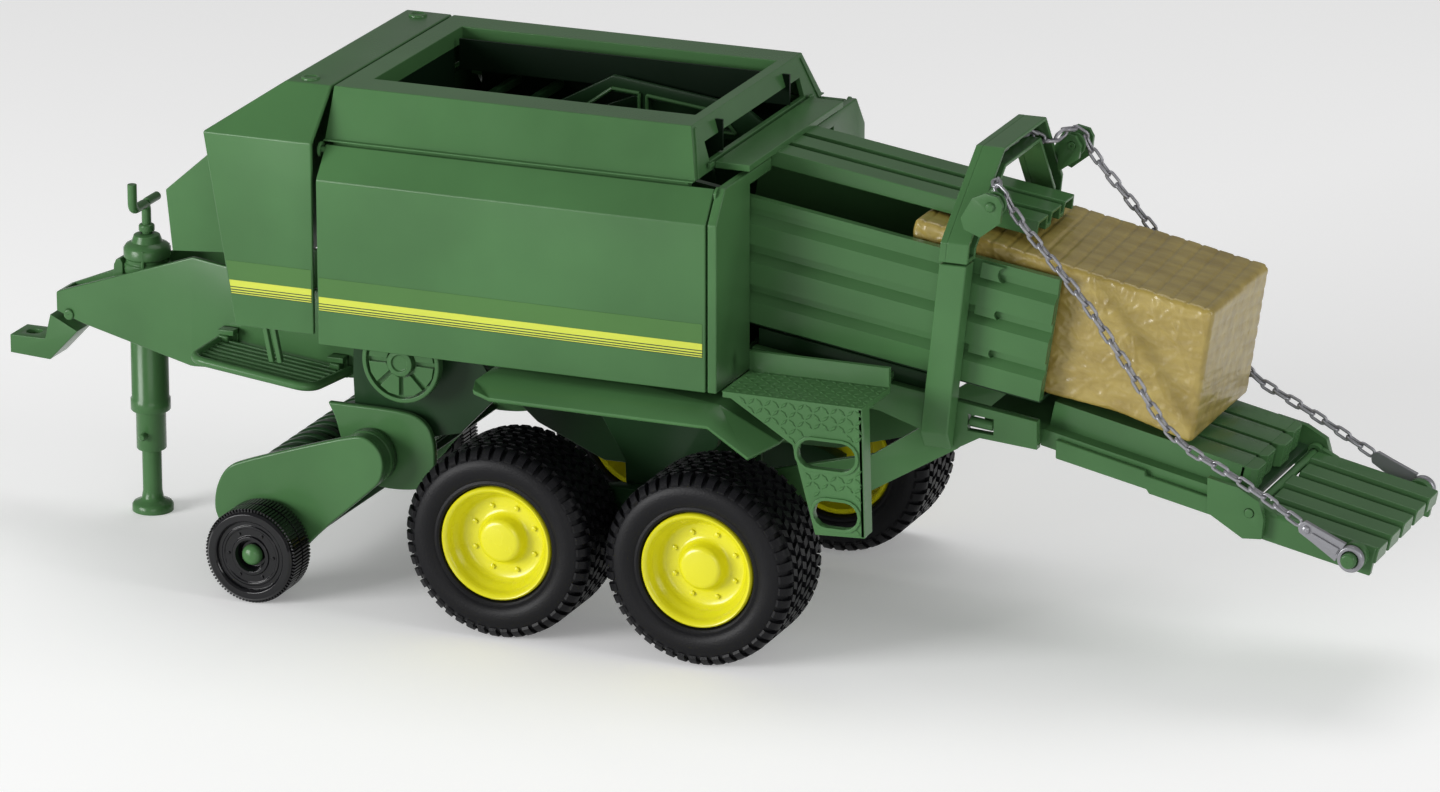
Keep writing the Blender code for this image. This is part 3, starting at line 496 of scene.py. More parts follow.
def jack():
    """Jack tube with stepped collars, its foot, and a crank bent from one bar."""
    centre = (JACK_X, 0, 0)
    bm = bmesh.new()
    casing = [(6.3, 42), (7.6, 42), (8.0, 42.6), (8.0, 47), (7.5, 47.6), (7.5, 98), (9.0, 99.4),
              (9.3, 100.4), (9.3, 103.2), (8.6, 103.8), (8.6, 105.2), (9.4, 105.9), (9.4, 109.4),
              (8.4, 110.8), (6.2, 111.8), (5.2, 114.6), (3.6, 115.2), (2.3, 115.2), (2.3, 110),
              (6.3, 110)]
    add_lathe(bm, casing, centre, "z")
    for t in (45, 165, 285):
        c, s = math.cos(math.radians(t)), math.sin(math.radians(t))
        add_sweep(bm, [(JACK_X + 8.6 * c, 8.6 * s, 100), (JACK_X + 8.6 * c, 8.6 * s, 110)], 0.9, 8)
    piece("jack_casing", bm, GREEN, "frame", ["jack_outer"], bevel=0.2, sharp=40)
    bm = bmesh.new()
    add_lathe(bm, [(4.2, 25.8), (5.6, 25.8), (6.0, 26.3), (6.0, 97), (4.2, 97)], centre, "z")
    for s in (-1, 1):
        add_wheel(bm, s, [(0.05, 5.2), (1.5, 5.2), (1.5, 8.4), (1.0, 9), (0.05, 9)], JACK_X, 32.6, 24)
    piece("jack_sleeve", bm, GREEN, "jack_tube", ["jack_tube"], bevel=0.15, sharp=40)
    bm = bmesh.new()
    stem = [(8.3, 0), (8.3, 2.6), (7.6, 3.6), (5.2, 4.4), (4.4, 5.6), (3.9, 8.4), (3.9, 70), (0.4, 70),
            (0.4, 0)]
    add_lathe(bm, stem, centre, "z")
    piece("jack_stem", bm, GREEN, "jack_foot", ["jack_foot"], bevel=0.25, sharp=40)
    bm = bmesh.new()
    path = [(JACK_X, 0, 105), (JACK_X, 0, 127.6), (JACK_X, -12, 127.6), (JACK_X, -12, 138.4)]
    add_sweep(bm, rounded_path(path, 3.2), 1.9, 20)
    add_sweep(bm, [(JACK_X, 0, 127.8), (JACK_X, 9.9, 127.8)], 1.8, 20)
    add_lathe(bm, [(0.05, 116.2), (3.2, 116.2), (3.2, 118.4), (2.6, 119), (0.05, 119)], centre, "z", 32)
    piece("jack_crank_bar", bm, GREEN, "jack_crank", ["jack_crank"], bevel=0.3)


def drawbar_details():
    """Cross webs in the drawbar's trough, the ear before the jack and the bolts of the hitch."""
    bm = bmesh.new()
    for x, half, z0, z1 in ((-200, 17.5, 78, 84), (-172, 19, 78, 96), (-140, 19, 80, 96)):
        add_box(bm, (x - 1, -half, z0), (x + 1, half, z1))
    add_prism(bm, softened([(-230.6, 96), (-226.2, 97.4), (-226.4, 105.6), (-230.2, 104.6)], 1), "y",
              -6.4, 6.4)
    for _, s in SIDES:
        add_wheel(bm, s, [(0.05, 5.0), (2.4, 5.0), (2.4, 8.6), (1.9, 9.2), (0.05, 9.2)], -249.5, 80.2, 24)
    piece("drawbar_webs", bm, GREEN, "frame")
    bm = bmesh.new()
    for _, s in SIDES:
        for x in (-142.6, -139.0):
            path = [(x, s * 46, 84.6), (x - 2.2, s * 46, 96), (x - 4.4, s * 46, 108.2)]
            add_rings(bm, [[(px + dx, py + dy, pz)
                            for dx, dy in ((-1, -1.2), (1, -1.2), (1, 1.2), (-1, 1.2))]
                           for px, py, pz in path])
        for x in (-171.5, -124.5):
            drop = 0.118 * (x + 147)
            add_box(bm, (x - 3.4, s * 22.1, 83.4 - drop), (x + 3.4, s * 27.6, 85.6 - drop))
            add_box(bm, (x - 3.4, s * 22.1, 76.4 - drop), (x + 3.4, s * 23.6, 85.6 - drop))
    piece("platform_brackets", bm, GREEN, "frame", bevel=0.35)


# ---- fenders, steps and platforms

def capsule(x0, x1, z0, z1, grow=0.0):
    """An outline with half-round ends, grown outwards by grow."""
    r, steps = (z1 - z0) / 2, 8
    return [polar(x, (z0 + z1) / 2, r + grow, math.radians(a + t * 180 / steps))
            for x, a in ((x1 - r, -90), (x0 + r, 90)) for t in range(steps + 1)]


STEP_SLOTS = ((93, 116.3, 84.5, 95.5), (99.5, 117.3, 62, 72.5))


def in_slot(x, z, margin):
    """Whether a point of the skirt lies within margin of one of its slots."""
    for x0, x1, z0, z1 in STEP_SLOTS:
        r = (z1 - z0) / 2
        nearest = min(max(x, x0 + r), x1 - r)
        if math.hypot(x - nearest, z - (z0 + z1) / 2) < r + margin:
            return True
    return False


def add_lozenge(bm, centre, along, across, out):
    """One raised bar of chequer plate: a long low pyramid with a flat top."""
    c = Vector(centre)
    a, b, n = Vector(along), Vector(across), Vector(out)
    base = [c + a * 2.0, c + b * 0.75, c - a * 2.0, c - b * 0.75]
    top = [c + a * 1.2 + n * 0.42, c + b * 0.3 + n * 0.42, c - a * 1.2 + n * 0.42, c - b * 0.3 + n * 0.42]
    sunk = [p - n * 0.2 for p in base]
    add_rings(bm, [[tuple(p) for p in ring] for ring in (sunk, base, top)])


def step_tread(side, s):
    """Chequer plate on the step's top and skirt, raised rims round the slots and a flange behind."""
    bm = bmesh.new()
    pitch, diagonal = 3.3, math.sqrt(0.5)
    for row in range(15):
        for column in range(17):
            turn = 1 if (row + column) % 2 else -1
            x, z = 64.5 + pitch * column, 61.4 + pitch * row
            left = 91 - (z - 92.5) * 28.5 / 17.5 if z > 92.5 else 91 + (92.5 - z) * 9.2 / 34
            if left + 2.2 < x < 117.6 and not in_slot(x, z, 2.6):
                add_lozenge(bm, (x, s * 88, z), (diagonal, 0, turn * diagonal),
                            (-turn * diagonal, 0, diagonal), (0, s, 0))
    for row in range(8):
        for column in range(17):
            turn = 1 if (row + column) % 2 else -1
            add_lozenge(bm, (64.5 + pitch * column, s * (62.2 + pitch * row), 109.82),
                        (diagonal, turn * diagonal, 0), (-turn * diagonal, diagonal, 0), (0, 0, 1))
    piece(f"step_tread_{side}", bm, GREEN, "frame", bevel=0, sharp=20)
    bm = bmesh.new()
    for x0, x1, z0, z1 in STEP_SLOTS:
        inner, outer = capsule(x0, x1, z0, z1), capsule(x0, x1, z0, z1, 1.3)
        rings = [[(x, y, z) for x, z in outline] for outline, y in
                 ((inner, s * 87.6), (inner, s * 88.7), (outer, s * 88.7), (outer, s * 87.6))]
        add_rings(bm, rings, looped=True)
    flange = [(117.0, 109.6), (118.5, 109.6), (120.0, 59.6), (118.5, 59.6)]
    add_prism(bm, flange, "y", s * 80.0, s * 88.0)
    piece(f"step_slot_rims_{side}", bm, GREEN, "frame", bevel=0.25)


def platform(side, s):
    """A ribbed board in a bent tube, held by two clips."""
    drop = 0.118

    def level(x, y, z):
        return x, s * y, z - drop * (x + 147)

    bm = bmesh.new()
    board = [(-173.6, 24.4), (-119.6, 24.4), (-123, 51), (-128, 53.2), (-168, 53.2), (-173.6, 49)]
    rings = [[level(x, y, z) for x, y in board] for z in (79.4, 80.6)]
    add_rings(bm, rings)
    for k in range(7):
        y = 27.2 + 3.9 * k
        add_rings(bm, [[level(x, y + dy, 80.4 + dz)
                        for dy, dz in ((-0.9, 0), (0.9, 0), (0.6, 1.3), (-0.6, 1.3))]
                       for x in (-173.2, -121.2 - 0.14 * (y - 24))])
    piece(f"platform_board_{side}", bm, GREEN, f"platform_{side}", [f"platform_{side}"], bevel=0.25)
    bm = bmesh.new()
    loop = [(-174.2, 24.6), (-174.2, 53.4), (-123.0, 53.4), (-119.2, 24.6)]
    add_sweep(bm, rounded_path([level(x, y, 80.9) for x, y in loop], 7.0, 8), 1.8, 16)
    piece(f"platform_tube_{side}", bm, GREEN, f"platform_{side}", bevel=0.3)
    bm = bmesh.new()
    for x in (-172.2, -124.4):
        add_rings(bm, [[level(x + dx, y, 78.6 + dz)
                        for dx, dz in ((-2.2, 0), (2.2, 0), (2.2, 4.8), (-2.2, 4.8))]
                       for y in (24.2, 28.6)])
    piece(f"platform_clips_{side}", bm, GREEN, f"platform_{side}", bevel=0.7)


def flywheel(side, s):
    """A wheel of eight webs between narrow slits, with a raised rim and hub."""
    bm = bmesh.new()
    add_wheel(bm, s, [(0.05, 41), (3.0, 41), (3.0, 57.4), (0.05, 57.4)], FLYWHEEL_X, FLYWHEEL_Z, 32)
    add_wheel(bm, s, [(0.05, 57.5), (15.4, 57.5), (15.4, 59.2), (0.05, 59.2)], FLYWHEEL_X, FLYWHEEL_Z)
    add_wheel(bm, s, [(14.4, 57.6), (16.2, 57.6), (16.2, 61.2), (15.8, 61.6), (14.4, 61.6)], FLYWHEEL_X,
              FLYWHEEL_Z)
    add_wheel(bm, s, [(0.05, 59.0), (5.4, 59.0), (5.2, 62.6), (3.4, 62.8), (3.0, 61.9), (0.05, 61.9)],
              FLYWHEEL_X, FLYWHEEL_Z, 40)
    webs = 8
    for k in range(webs):
        a0 = TAU * (k + 0.09) / webs
        a1 = TAU * (k + 0.91) / webs
        web = ((6.2, a0 + 0.06), (13.6, a0), (13.9, (a0 + a1) / 2), (13.6, a1), (6.2, a1 - 0.06))
        add_prism(bm, [polar(FLYWHEEL_X, FLYWHEEL_Z, r, a) for r, a in web], "y", s * 59.0, s * 60.9)
    piece(f"flywheel_disc_{side}", bm, GREEN, "flywheels", [f"flywheel_{side}"], bevel=0.25)


# ---- chute, arch and pulleys

RIBS = ((0.2, 12.2), (15.0, 27.4), (30.6, 42.4))


def chute_side(side, s):
    """A side panel with three broad ribs, whose grooves start in rounded pockets behind the arch."""
    bm = bmesh.new()
    base = [(s * 36.8, 0), (s * 39.2, 0), (s * 39.2, 48.6), (s * 36.8, 48.6)]
    add_section(bm, base, chute, -38, 112.4)
    for low, high in RIBS:
        rib = [(s * 39, low), (s * 42.0, low + 0.3), (s * 42.0, high - 3.4), (s * 39, high)]
        add_section(bm, rib, chute, -37.9, 112.6)
    lip = [(s * 39, 44.6), (s * 40.0, 44.6), (s * 40.0, 48.6), (s * 39, 48.6)]
    add_section(bm, lip, chute, -37.9, 112.5)
    for low, high in ((12.0, 15.4), (27.4, 31.0), (42.0, 48.0)):
        middle, reach = (low + high) / 2, (high - low) / 2
        outline = [(82, low), (91.5, low)]
        outline += [(91.5 - reach * 0.9 * math.sin(math.radians(t)),
                     middle - reach * math.cos(math.radians(t))) for t in range(20, 180, 20)]
        outline += [(91.5, high), (82, high)]
        add_prism(bm, [chute(u, h) for u, h in outline], "y", s * 39.0, s * 41.7)
    piece(f"chute_panel_{side}", bm, GREEN, "frame", [f"chute_{side}"], bevel=0.35)


def shadow_plates_under_chute():
    """Plates in the green with painted shadow under the chute's floor that close the space down to the rails
    where it lies in shade.
    """
    bm = bmesh.new()
    for _, s in SIDES:
        outline = [(56.2, 107.4), (56.2, 119.0), (136, 107.4), (136, 98.7), (90, 103.0)]
        add_prism(bm, outline, "y", s * 33.8, s * 35.8)
    add_prism(bm, [(56.2, 107.4), (90, 102.4), (124, 99.8), (124, 101.4), (90, 104.0), (56.2, 109.0)],
              "y", -33.9, 33.9)
    # The plates are made in the green with painted shadow.
    piece("shadow_plates_under_chute", bm, PAINTED_SHADOW_GREEN, "frame")


def shadow_plate_under_body():
    """A plate in the green with painted shadow along the middle of the chassis that closes the view under
    the body where it lies in shade.
    """
    bm = bmesh.new()
    add_prism(bm, [(-77, 90), (44, 90), (44, 46), (-22, 46), (-50, 58), (-71, 76)], "y", -2, 0)
    # The plate is made in the green with painted shadow.
    piece("shadow_plate_under_body", bm, PAINTED_SHADOW_GREEN, "frame")


def chute_top():
    """The top board: three hollow ribs that are open at their ends, under a cross flange."""
    pitch, half, wall = 14.4, 5.8, 1.3
    low, floor, top = 55.2, 57.0, 61.2
    centres = (-pitch, 0.0, pitch)
    over, under = [], []
    for y in centres:
        over += [(y - half, floor), (y - half + 0.6, top), (y + half - 0.6, top), (y + half, floor)]
        under += [(y - half + wall, low), (y - half + wall + 0.5, top - wall),
                  (y + half - wall - 0.5, top - wall), (y + half - wall, low)]
    section = [(-pitch - half, low)] + over + [(pitch + half, low)] + list(reversed(under))
    bm = bmesh.new()
    add_section(bm, section, chute, -22, 94.5)
    add_box(bm, (43.4, -48, 183.6), (57.5, 48, 186.2))
    piece("chute_board", bm, GREEN, "frame", ["chute_top"], bevel=0.35)


def sheared(bm, slope, z0):
    """Leans everything in bm backwards with height."""
    for vert in bm.verts:
        vert.co.x += slope * (vert.co.z - z0 * MM)


def arch():
    """The arch in three mouldings: two legs and a top that is an open channel behind."""
    joint, slope, foot = 158.0, 0.1055, 91.9
    parts = [("arch_leg_near", -1), ("arch_leg_far", 1)]
    for index, (name, s) in enumerate(parts):
        bm = bmesh.new()
        outline = [(42.4, 83.5), (45, 83.5), (51, 91), (51, joint - 0.5), (42.4, joint - 0.5)]
        add_prism(bm, [(s * y, z) for y, z in outline], "x", 127.6, 138.5)
        sheared(bm, slope, foot)
        piece(name, bm, GREEN, "frame", ["arch"] if index == 0 else (), bevel=0.7)
    outer = [(51.3, joint + 0.3), (51.3, 166), (22.7, 196.4)]
    outer_skin = [(49.7, joint + 0.3), (49.7, 165.4), (22.0, 194.8)]
    inner_skin = [(43.8, joint + 0.3), (43.8, 163.0), (19.2, 189.2)]
    inner = [(42.2, joint + 0.3), (42.2, 162.4), (18.5, 187.6)]
    bm = bmesh.new()
    for over, under, x0, x1 in ((outer, inner, 127.3, 130.2), (outer, outer_skin, 129.9, 138.8),
                                (inner_skin, inner, 129.9, 138.8)):
        outline = [(-y, z) for y, z in over] + [(y, z) for y, z in reversed(over)]
        outline += [(y, z) for y, z in under] + [(-y, z) for y, z in reversed(under)]
        add_prism(bm, outline, "x", x0, x1)
    for _, s in SIDES:
        add_box(bm, (129.9, s * 46.8 - 3.4, joint + 0.3), (138.7, s * 46.8 + 3.4, joint + 2.0))
    sheared(bm, slope, foot)
    piece("arch_top", bm, GREEN, "frame", bevel=0.5)


def pulleys():
    """Grooved rollers, with a bolt head on each bracket."""
    for side, s in SIDES:
        bm = bmesh.new()
        profile = [(0.3, 37), (1.6, 37), (1.6, 40.1), (4.4, 40.1), (4.7, 40.4), (4.7, 40.9), (2.9, 41.3),
                   (1.9, 42.4), (1.9, 44.0), (2.9, 45.1), (4.7, 45.5), (4.7, 46.0), (4.4, 46.3),
                   (1.6, 46.3), (1.6, 51.0), (0.3, 51.0)]
        add_wheel(bm, s, profile, PULLEY_X, PULLEY_Z, 40)
        head = [(0.05, 50.9), (1.9, 50.9), (1.9, 51.4), (1.4, 52.0), (0.05, 52.2)]
        add_wheel(bm, s, head, PULLEY_X, PULLEY_Z, 24)
        piece(f"pulley_wheel_{side}", bm, GREEN, f"pulley_{side}", [f"pulley_{side}"], bevel=0.12, sharp=40)


# ---- ramp and tail

def ramp_details():
    """Side walls with a step, under-flanges and the hinge's guard blocks."""
    for side, s in SIDES:
        bm = bmesh.new()
        wall = [(177, 90.2), (212.4, 82.4), (212.6, 80.6), (247, 73.2), (247, 66.5), (214, 73.6),
                (213, 75.2), (177, 82.8)]
        add_prism(bm, wall, "y", s * 36.3, s * 38.6)
        piece(f"ramp_wall_{side}", bm, GREEN, "frame", bevel=0.5)
    bm = bmesh.new()
    for k in range(4):
        y, end = RIB_PITCH * (k - 1.5), 83.4 - 1.6 * (k % 2)
        plan = [(77, y - 6.5), (end - 2.4, y - 6.5), (end, y - 4.6), (end, y + 4.6), (end - 2.4, y + 6.5),
                (77, y + 6.5)]
        rings = [[(ramp(u, h)[0], across, ramp(u, h)[1]) for u, across in plan] for h in (-9.6, -0.15)]
        add_rings(bm, rings)
    piece("ramp_rib_ends", bm, GREEN, "frame", bevel=0.5)
    # The plate under the ramp takes the green with painted shadow.
    bm = bmesh.new()
    add_section(bm, [(-34.2, -12.8), (34.2, -12.8), (34.2, -9.7), (-34.2, -9.7)], ramp, 78.2, 84.6)
    add_section(bm, [(-36.0, -15.4), (36.0, -15.4), (36.0, -9.8), (-36.0, -9.8)], ramp, 2, 74)
    piece("ramp_cross_plate", bm, PAINTED_SHADOW_GREEN, "frame", bevel=0.3)


def tail_board():
    """The tail: five solid bars with rounded ends on a thin deck, side skirts, knuckles and pegs."""
    bm = bmesh.new()
    for k in range(5):
        y = RIB_PITCH * (k - 2)
        bar = [(y - 6.2, -TAIL_DROP - 6.2), (y - 6.2, -TAIL_DROP - 1.4), (y - 5.0, -TAIL_DROP),
               (y + 5.0, -TAIL_DROP), (y + 6.2, -TAIL_DROP - 1.4), (y + 6.2, -TAIL_DROP - 6.2)]
        add_section(bm, bar, ramp, 88.2 + 1.2 * (k % 2), 137)
    add_section(bm, [(-34.6, -17.6), (34.6, -17.6), (34.6, -15.2), (-34.6, -15.2)], ramp, 88, 131)
    for _, s in SIDES:
        skirt = [(s * 34.6, -22.6), (s * 37.7, -22.6), (s * 37.7, -12.6), (s * 36.6, -11.3),
                 (s * 34.6, -11.3)]
        add_section(bm, skirt, ramp, 88, 136)
    piece("tail_board", bm, GREEN, "tail", ["tail"], bevel=0.6)
    bm = bmesh.new()
    x, z = TAIL_PIVOT
    for _, s in SIDES:
        add_wheel(bm, s, [(1.95, 34.6), (3.6, 34.6), (3.6, 37.5), (1.95, 37.5)], x, z, 32)
        add_prism(bm, [(256.4, 68.4), (264, 63.0), (264, 71.3), (257.6, 74.4)], "y", s * 34.7, s * 37.4)
        boss = [(0.05, 37.6), (5.2, 37.6), (5.2, 40.9), (4.7, 41.3), (3.0, 41.3), (3.0, 47.6), (2.4, 48.3),
                (0.05, 48.3)]
        add_wheel(bm, s, boss, PEG_X, PEG_Z, 40)
    piece("tail_fittings", bm, GREEN, "tail", bevel=0.3)


def hooks():
    """Flat straps with a ring eye round the peg and a rivet at the chain's end."""
    angle = math.atan2(-11.0, 20.0)
    along = Vector((math.cos(angle), 0, math.sin(angle)))
    up = Vector((-along.z, 0, along.x))
    peg = Vector((PEG_X, 0, PEG_Z))
    for side, s in SIDES:
        bm = bmesh.new()
        widths = ((-22.6, 1.2), (-21.4, 2.6), (-15.5, 3.0), (-6.2, 3.9), (-4.4, 4.1))
        outline = [peg + along * d + up * half for d, half in widths]
        outline += [peg + along * d - up * half for d, half in reversed(widths)]
        add_prism(bm, [(p.x, p.z) for p in outline], "y", s * 43.0, s * 45.0)
        ridge = [peg + along * d + up * h for d, h in ((-17, 0.5), (-5.4, 1.4), (-5.4, -1.4), (-17, -0.5))]
        add_prism(bm, [(p.x, p.z) for p in ridge], "y", s * 44.8, s * 45.8)
        add_wheel(bm, s, [(3.4, 42.5), (4.6, 42.5), (5.1, 43.1), (5.1, 45.0), (4.6, 45.6), (3.4, 45.6)],
                  PEG_X, PEG_Z, 40)
        rivet = peg + along * -19.6
        add_wheel(bm, s, [(0.05, 44.8), (1.7, 44.8), (1.5, 45.8), (0.8, 46.2), (0.05, 46.2)], rivet.x,
                  rivet.z, 24)
        piece(f"chain_hook_{side}", bm, SILVER, "tail", [f"hook_{side}"], bevel=0.2)


# ---- chain

def chain_route():
    """The chain's centreline, from the near hook over both pulleys to the far hook."""
    strand = [(275.0, 43.9, 71.8), (262, 43.4, 79.2), (250, 43.3, 85.6), (240, 43.3, 90.4),
              (231.5, 43.3, 94.4), (223.5, 43.3, 100.4), (216.5, 43.2, 109.0), (205.0, 43.2, 126.0),
              (190.0, 43.2, 146.0), (175.0, 43.2, 162.6), (165.5, 43.2, 172.8), (159.9, 43.2, 180.0)]
    turns = [polar(PULLEY_X, PULLEY_Z, PULLEY_R + 0.7, math.radians(t)) for t in (20, 50, 80)]
    over = [(x, PULLEY_Y, z) for x, z in turns]
    inside = [(153.4, 41.0, 187.2), (152.4, 38.4, 187.8), (151.4, 34.5, 186.4), (149.0, 30.5, 184.8),
              (145.7, 26.5, 186.8), (143.9, 21.0, 190.6), (143.7, 15.0, 192.0)]
    half = strand + over + inside
    return [(x, -y, z) for x, y, z in half] + [(143.7, 0, 192.0)] + list(reversed(half))


def evenly(path, pitch):
    """Points and directions every pitch along a path."""
    points = [Vector(p) for p in path]
    lengths = [(b - a).length for a, b in zip(points, points[1:])]
    total, found = sum(lengths), []
    count = int(total / pitch)
    for k in range(count + 1):
        left, i = total * k / count, 0
        while i < len(lengths) - 1 and left > lengths[i]:
            left -= lengths[i]
            i += 1
        found.append(points[i].lerp(points[i + 1], left / lengths[i]))
    return found


def add_link(bm, centre, along, flat):
    """One oval link: wire swept round two half circles joined by straight runs."""
    across = along.cross(flat).normalized()
    flat = across.cross(along).normalized()
    bend = LINK_WIDTH / 2 - LINK_WIRE
    reach = LINK_LENGTH / 2 - LINK_WIRE - bend
    rings = []
    for end, first in ((1, -90), (-1, 90)):
        for t in range(0, 181, 30):
            a = math.radians(first + t)
            out = along * math.cos(a) + across * math.sin(a)
            middle = centre + along * reach * end + out * bend
            rings.append(wire_ring(middle, out, flat, LINK_WIRE, 8))
    add_rings(bm, rings, looped=True)


def chain():
    """Links set end in end, each turned a quarter from the last."""
    spots = evenly(chain_route(), LINK_PITCH / 2)
    bm = bmesh.new()
    for k in range(1, len(spots) - 1, 2):
        along = (spots[k + 1] - spots[k - 1]).normalized()
        flat = Vector((0, 1, 0)) if abs(along.y) < 0.7 else Vector((1, 0, 0))
        if (k // 2) % 2:
            flat = along.cross(flat)
        add_link(bm, spots[k], along, flat)
    made = piece("chain_links", bm, SILVER, None, ["chain"], bevel=0, sharp=60)
    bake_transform(made)


# ---- bale

def straw_marks(rng, size, count, length, depth):
    """Random stalks on a rectangle, as (x, y, direction, half length, height)."""
    return [(rng.uniform(0, size[0]), rng.uniform(0, size[1]), rng.uniform(0, math.pi),
             rng.uniform(length[0], length[1]) / 2, rng.uniform(depth[0], depth[1])) for _ in range(count)]


def stalk_relief(a, b, marks, width):
    """Height at the points (a, b) of a rectangle covered by stalks."""
    height = np.zeros(len(a))
    for x, y, turn, half, rise in marks:
        c, s = math.cos(turn), math.sin(turn)
        da, db = a - x, b - y
        along = np.clip(da * c + db * s, -half, half)
        gap = np.hypot(da - along * c, db - along * s) / width
        height = np.maximum(height, rise * np.clip(1 - gap ** 2, 0, 1))
    return height


def bale():
    """A wrapped bale: rounded block with stalk relief on its sides, wrap ridges on top and creased ends."""
    rng = random.Random(7)
    tall = BALE_FRONT_H - 0.5
    size = (BALE_LENGTH, 2 * BALE_HALF_WIDTH, tall)
    cells = (170, 92, 72)
    bm = bmesh.new()
    bmesh.ops.create_cube(bm, size=1.0)
    for axis in range(3):
        along = [e for e in bm.edges if abs((e.verts[0].co - e.verts[1].co).normalized()[axis]) > 0.99]
        bmesh.ops.subdivide_edges(bm, edges=along, cuts=cells[axis] - 1, use_grid_fill=True)
    co = np.array([v.co for v in bm.verts]) * np.array(size)
    half = np.array(size) / 2
    rounding = 2.8
    core = np.clip(co, -(half - rounding), half - rounding)
    out = co - core
    normal = out / np.maximum(np.linalg.norm(out, axis=1), 1e-6)[:, None]
    surface = core + normal * rounding
    facing = np.abs(normal)
    u, y, h = surface[:, 0] + half[0], surface[:, 1] + half[1], surface[:, 2] + half[2]
    sides = stalk_relief(u, h, straw_marks(rng, (size[0], size[2]), 560, (5, 16), (0.16, 0.5)), 0.7)
    ends = stalk_relief(y, h, straw_marks(rng, (size[1], size[2]), 60, (14, 40), (0.15, 0.45)), 0.8)
    ends = np.maximum(ends, 0.4 * np.abs(np.sin(math.pi * (h + 0.12 * y) / 5.2)) ** 0.4)
    bent = u + 0.05 * (y - half[1]) + 0.02 * np.maximum(0, 8 - np.minimum(y, size[1] - y)) ** 1.6
    creases = np.clip(1 - (np.abs((bent / 6.6) % 1 - 0.5) * 6.6 / 0.75) ** 2, 0, 1)
    swell = np.array([noise.noise(Vector(p) * 0.045) for p in surface])
    ripple = np.array([noise.noise(Vector(p) * 0.22) for p in surface])
    top = np.where(normal[:, 2] > 0, facing[:, 2] ** 2, 0)
    lift = facing[:, 1] ** 2 * (sides - 0.6) + facing[:, 0] ** 2 * (ends - 0.45)
    lift -= top * (0.55 * creases + 0.1)
    lift += 0.24 * swell + 0.1 * ripple - 0.1
    shape = surface + normal * np.minimum(lift, 0.05)[:, None]
    for vert, (du, dy, dh) in zip(bm.verts, shape):
        along, share = half[0] + du, (half[2] + dh) / tall
        top_h = BALE_FRONT_H + (BALE_REAR_H - BALE_FRONT_H) * along / BALE_LENGTH
        past = max(0.0, BALE_U + along - SAG_U) / (BALE_U + BALE_LENGTH - SAG_U)
        low_h = 0.5 - (SAG + 0.5) * past
        x, z = chute(BALE_U + along, low_h + (top_h - low_h) * share)
        vert.co = at(x, dy, z)
    piece("straw_bale", bm, STRAW, "bale", ["bale"], bevel=0, sharp=180)


# ---- pickup

SHIELD = ((-157.4, 37), (-152.6, 47.4), (-144, 51.6), (-101, 66.2), (-92, 67.4), (-85.0, 60.5),
          (-85.6, 50.4), (-91.5, 44.6), (-116.7, 22.0), (-124, 11), (-134, 8.6), (-143, 11.4),
          (-157, 25.4))


def pickup():
    """Side shields with hub drums, the shaft, the pan and the gauge wheels' stub axles."""
    bm = bmesh.new()
    outline = softened(SHIELD, 3)
    for _, s in SIDES:
        add_prism(bm, outline, "y", s * 66.4, s * 69.6)
    piece("pickup_shields", bm, GREEN, "pickup", ["pickup_frame"], bevel=0.9)
    bm = bmesh.new()
    add_lathe(bm, [(0.05, -66.5), (3.6, -66.5), (3.6, 66.5), (0.05, 66.5)], (HUB_X, 0, HUB_Z), sides=32)
    for _, s in SIDES:
        drum = [(3.5, 55.1), (10.4, 55.1), (11.0, 55.7), (11.0, 60.4), (10.4, 60.9), (10.4, 61.7),
                (11.0, 62.2), (11.0, 66.6), (3.5, 66.6)]
        add_wheel(bm, s, drum, HUB_X, HUB_Z, 48)
        add_wheel(bm, s, [(0.05, 68.0), (2.9, 68.0), (2.9, 84.4), (0.05, 84.4)], GAUGE_X, GAUGE_R, 24)
        cap = [(0.05, 84.0), (4.1, 84.0), (4.1, 85.2), (3.5, 86.4), (2.2, 87.2), (0.05, 87.5)]
        add_wheel(bm, s, cap, GAUGE_X, GAUGE_R, 32)
    piece("pickup_hubs", bm, GREEN, "pickup", bevel=0.15, sharp=50)
    # The pan behind the shields lies in shade and takes the green with painted shadow.
    bm = bmesh.new()
    add_prism(bm, [(-140, 12.8), (-128, 14.0), (-90, 43.2), (-92, 45.2), (-129, 16.6), (-140, 15.4)], "y",
              -50.4, 50.4)
    add_prism(bm, [(-140.2, 12.6), (-128.2, 13.8), (-114, 24.6), (-116, 27.0), (-129.2, 16.8),
                   (-140.2, 15.6)], "y", -67, 67)
    piece("pickup_pan", bm, PAINTED_SHADOW_GREEN, "pickup")


def cheeks():
    """Plates beside the pickup with one long smooth edge behind."""
    outline = [(-115.5, 74.0), (-84, 74.1), (-75.4, 71.8), (-70.8, 65.4), (-70.0, 54), (-72, 45.6),
               (-79.5, 42), (-98, 41.6), (-107.4, 52), (-110.2, 60), (-112.4, 68.6)]
    for side, s in SIDES:
        bm = bmesh.new()
        add_prism(bm, softened(outline, 3, keep=(0,)), "y", s * 51.2, s * 54.4)
        add_wheel(bm, s, [(0.05, 48.9), (3, 48.9), (3, 51.6), (0.05, 51.6)], -92, 68, 24)
        piece(f"cheek_plate_{side}", bm, GREEN, "frame", [f"cheek_{side}"], bevel=0.9)


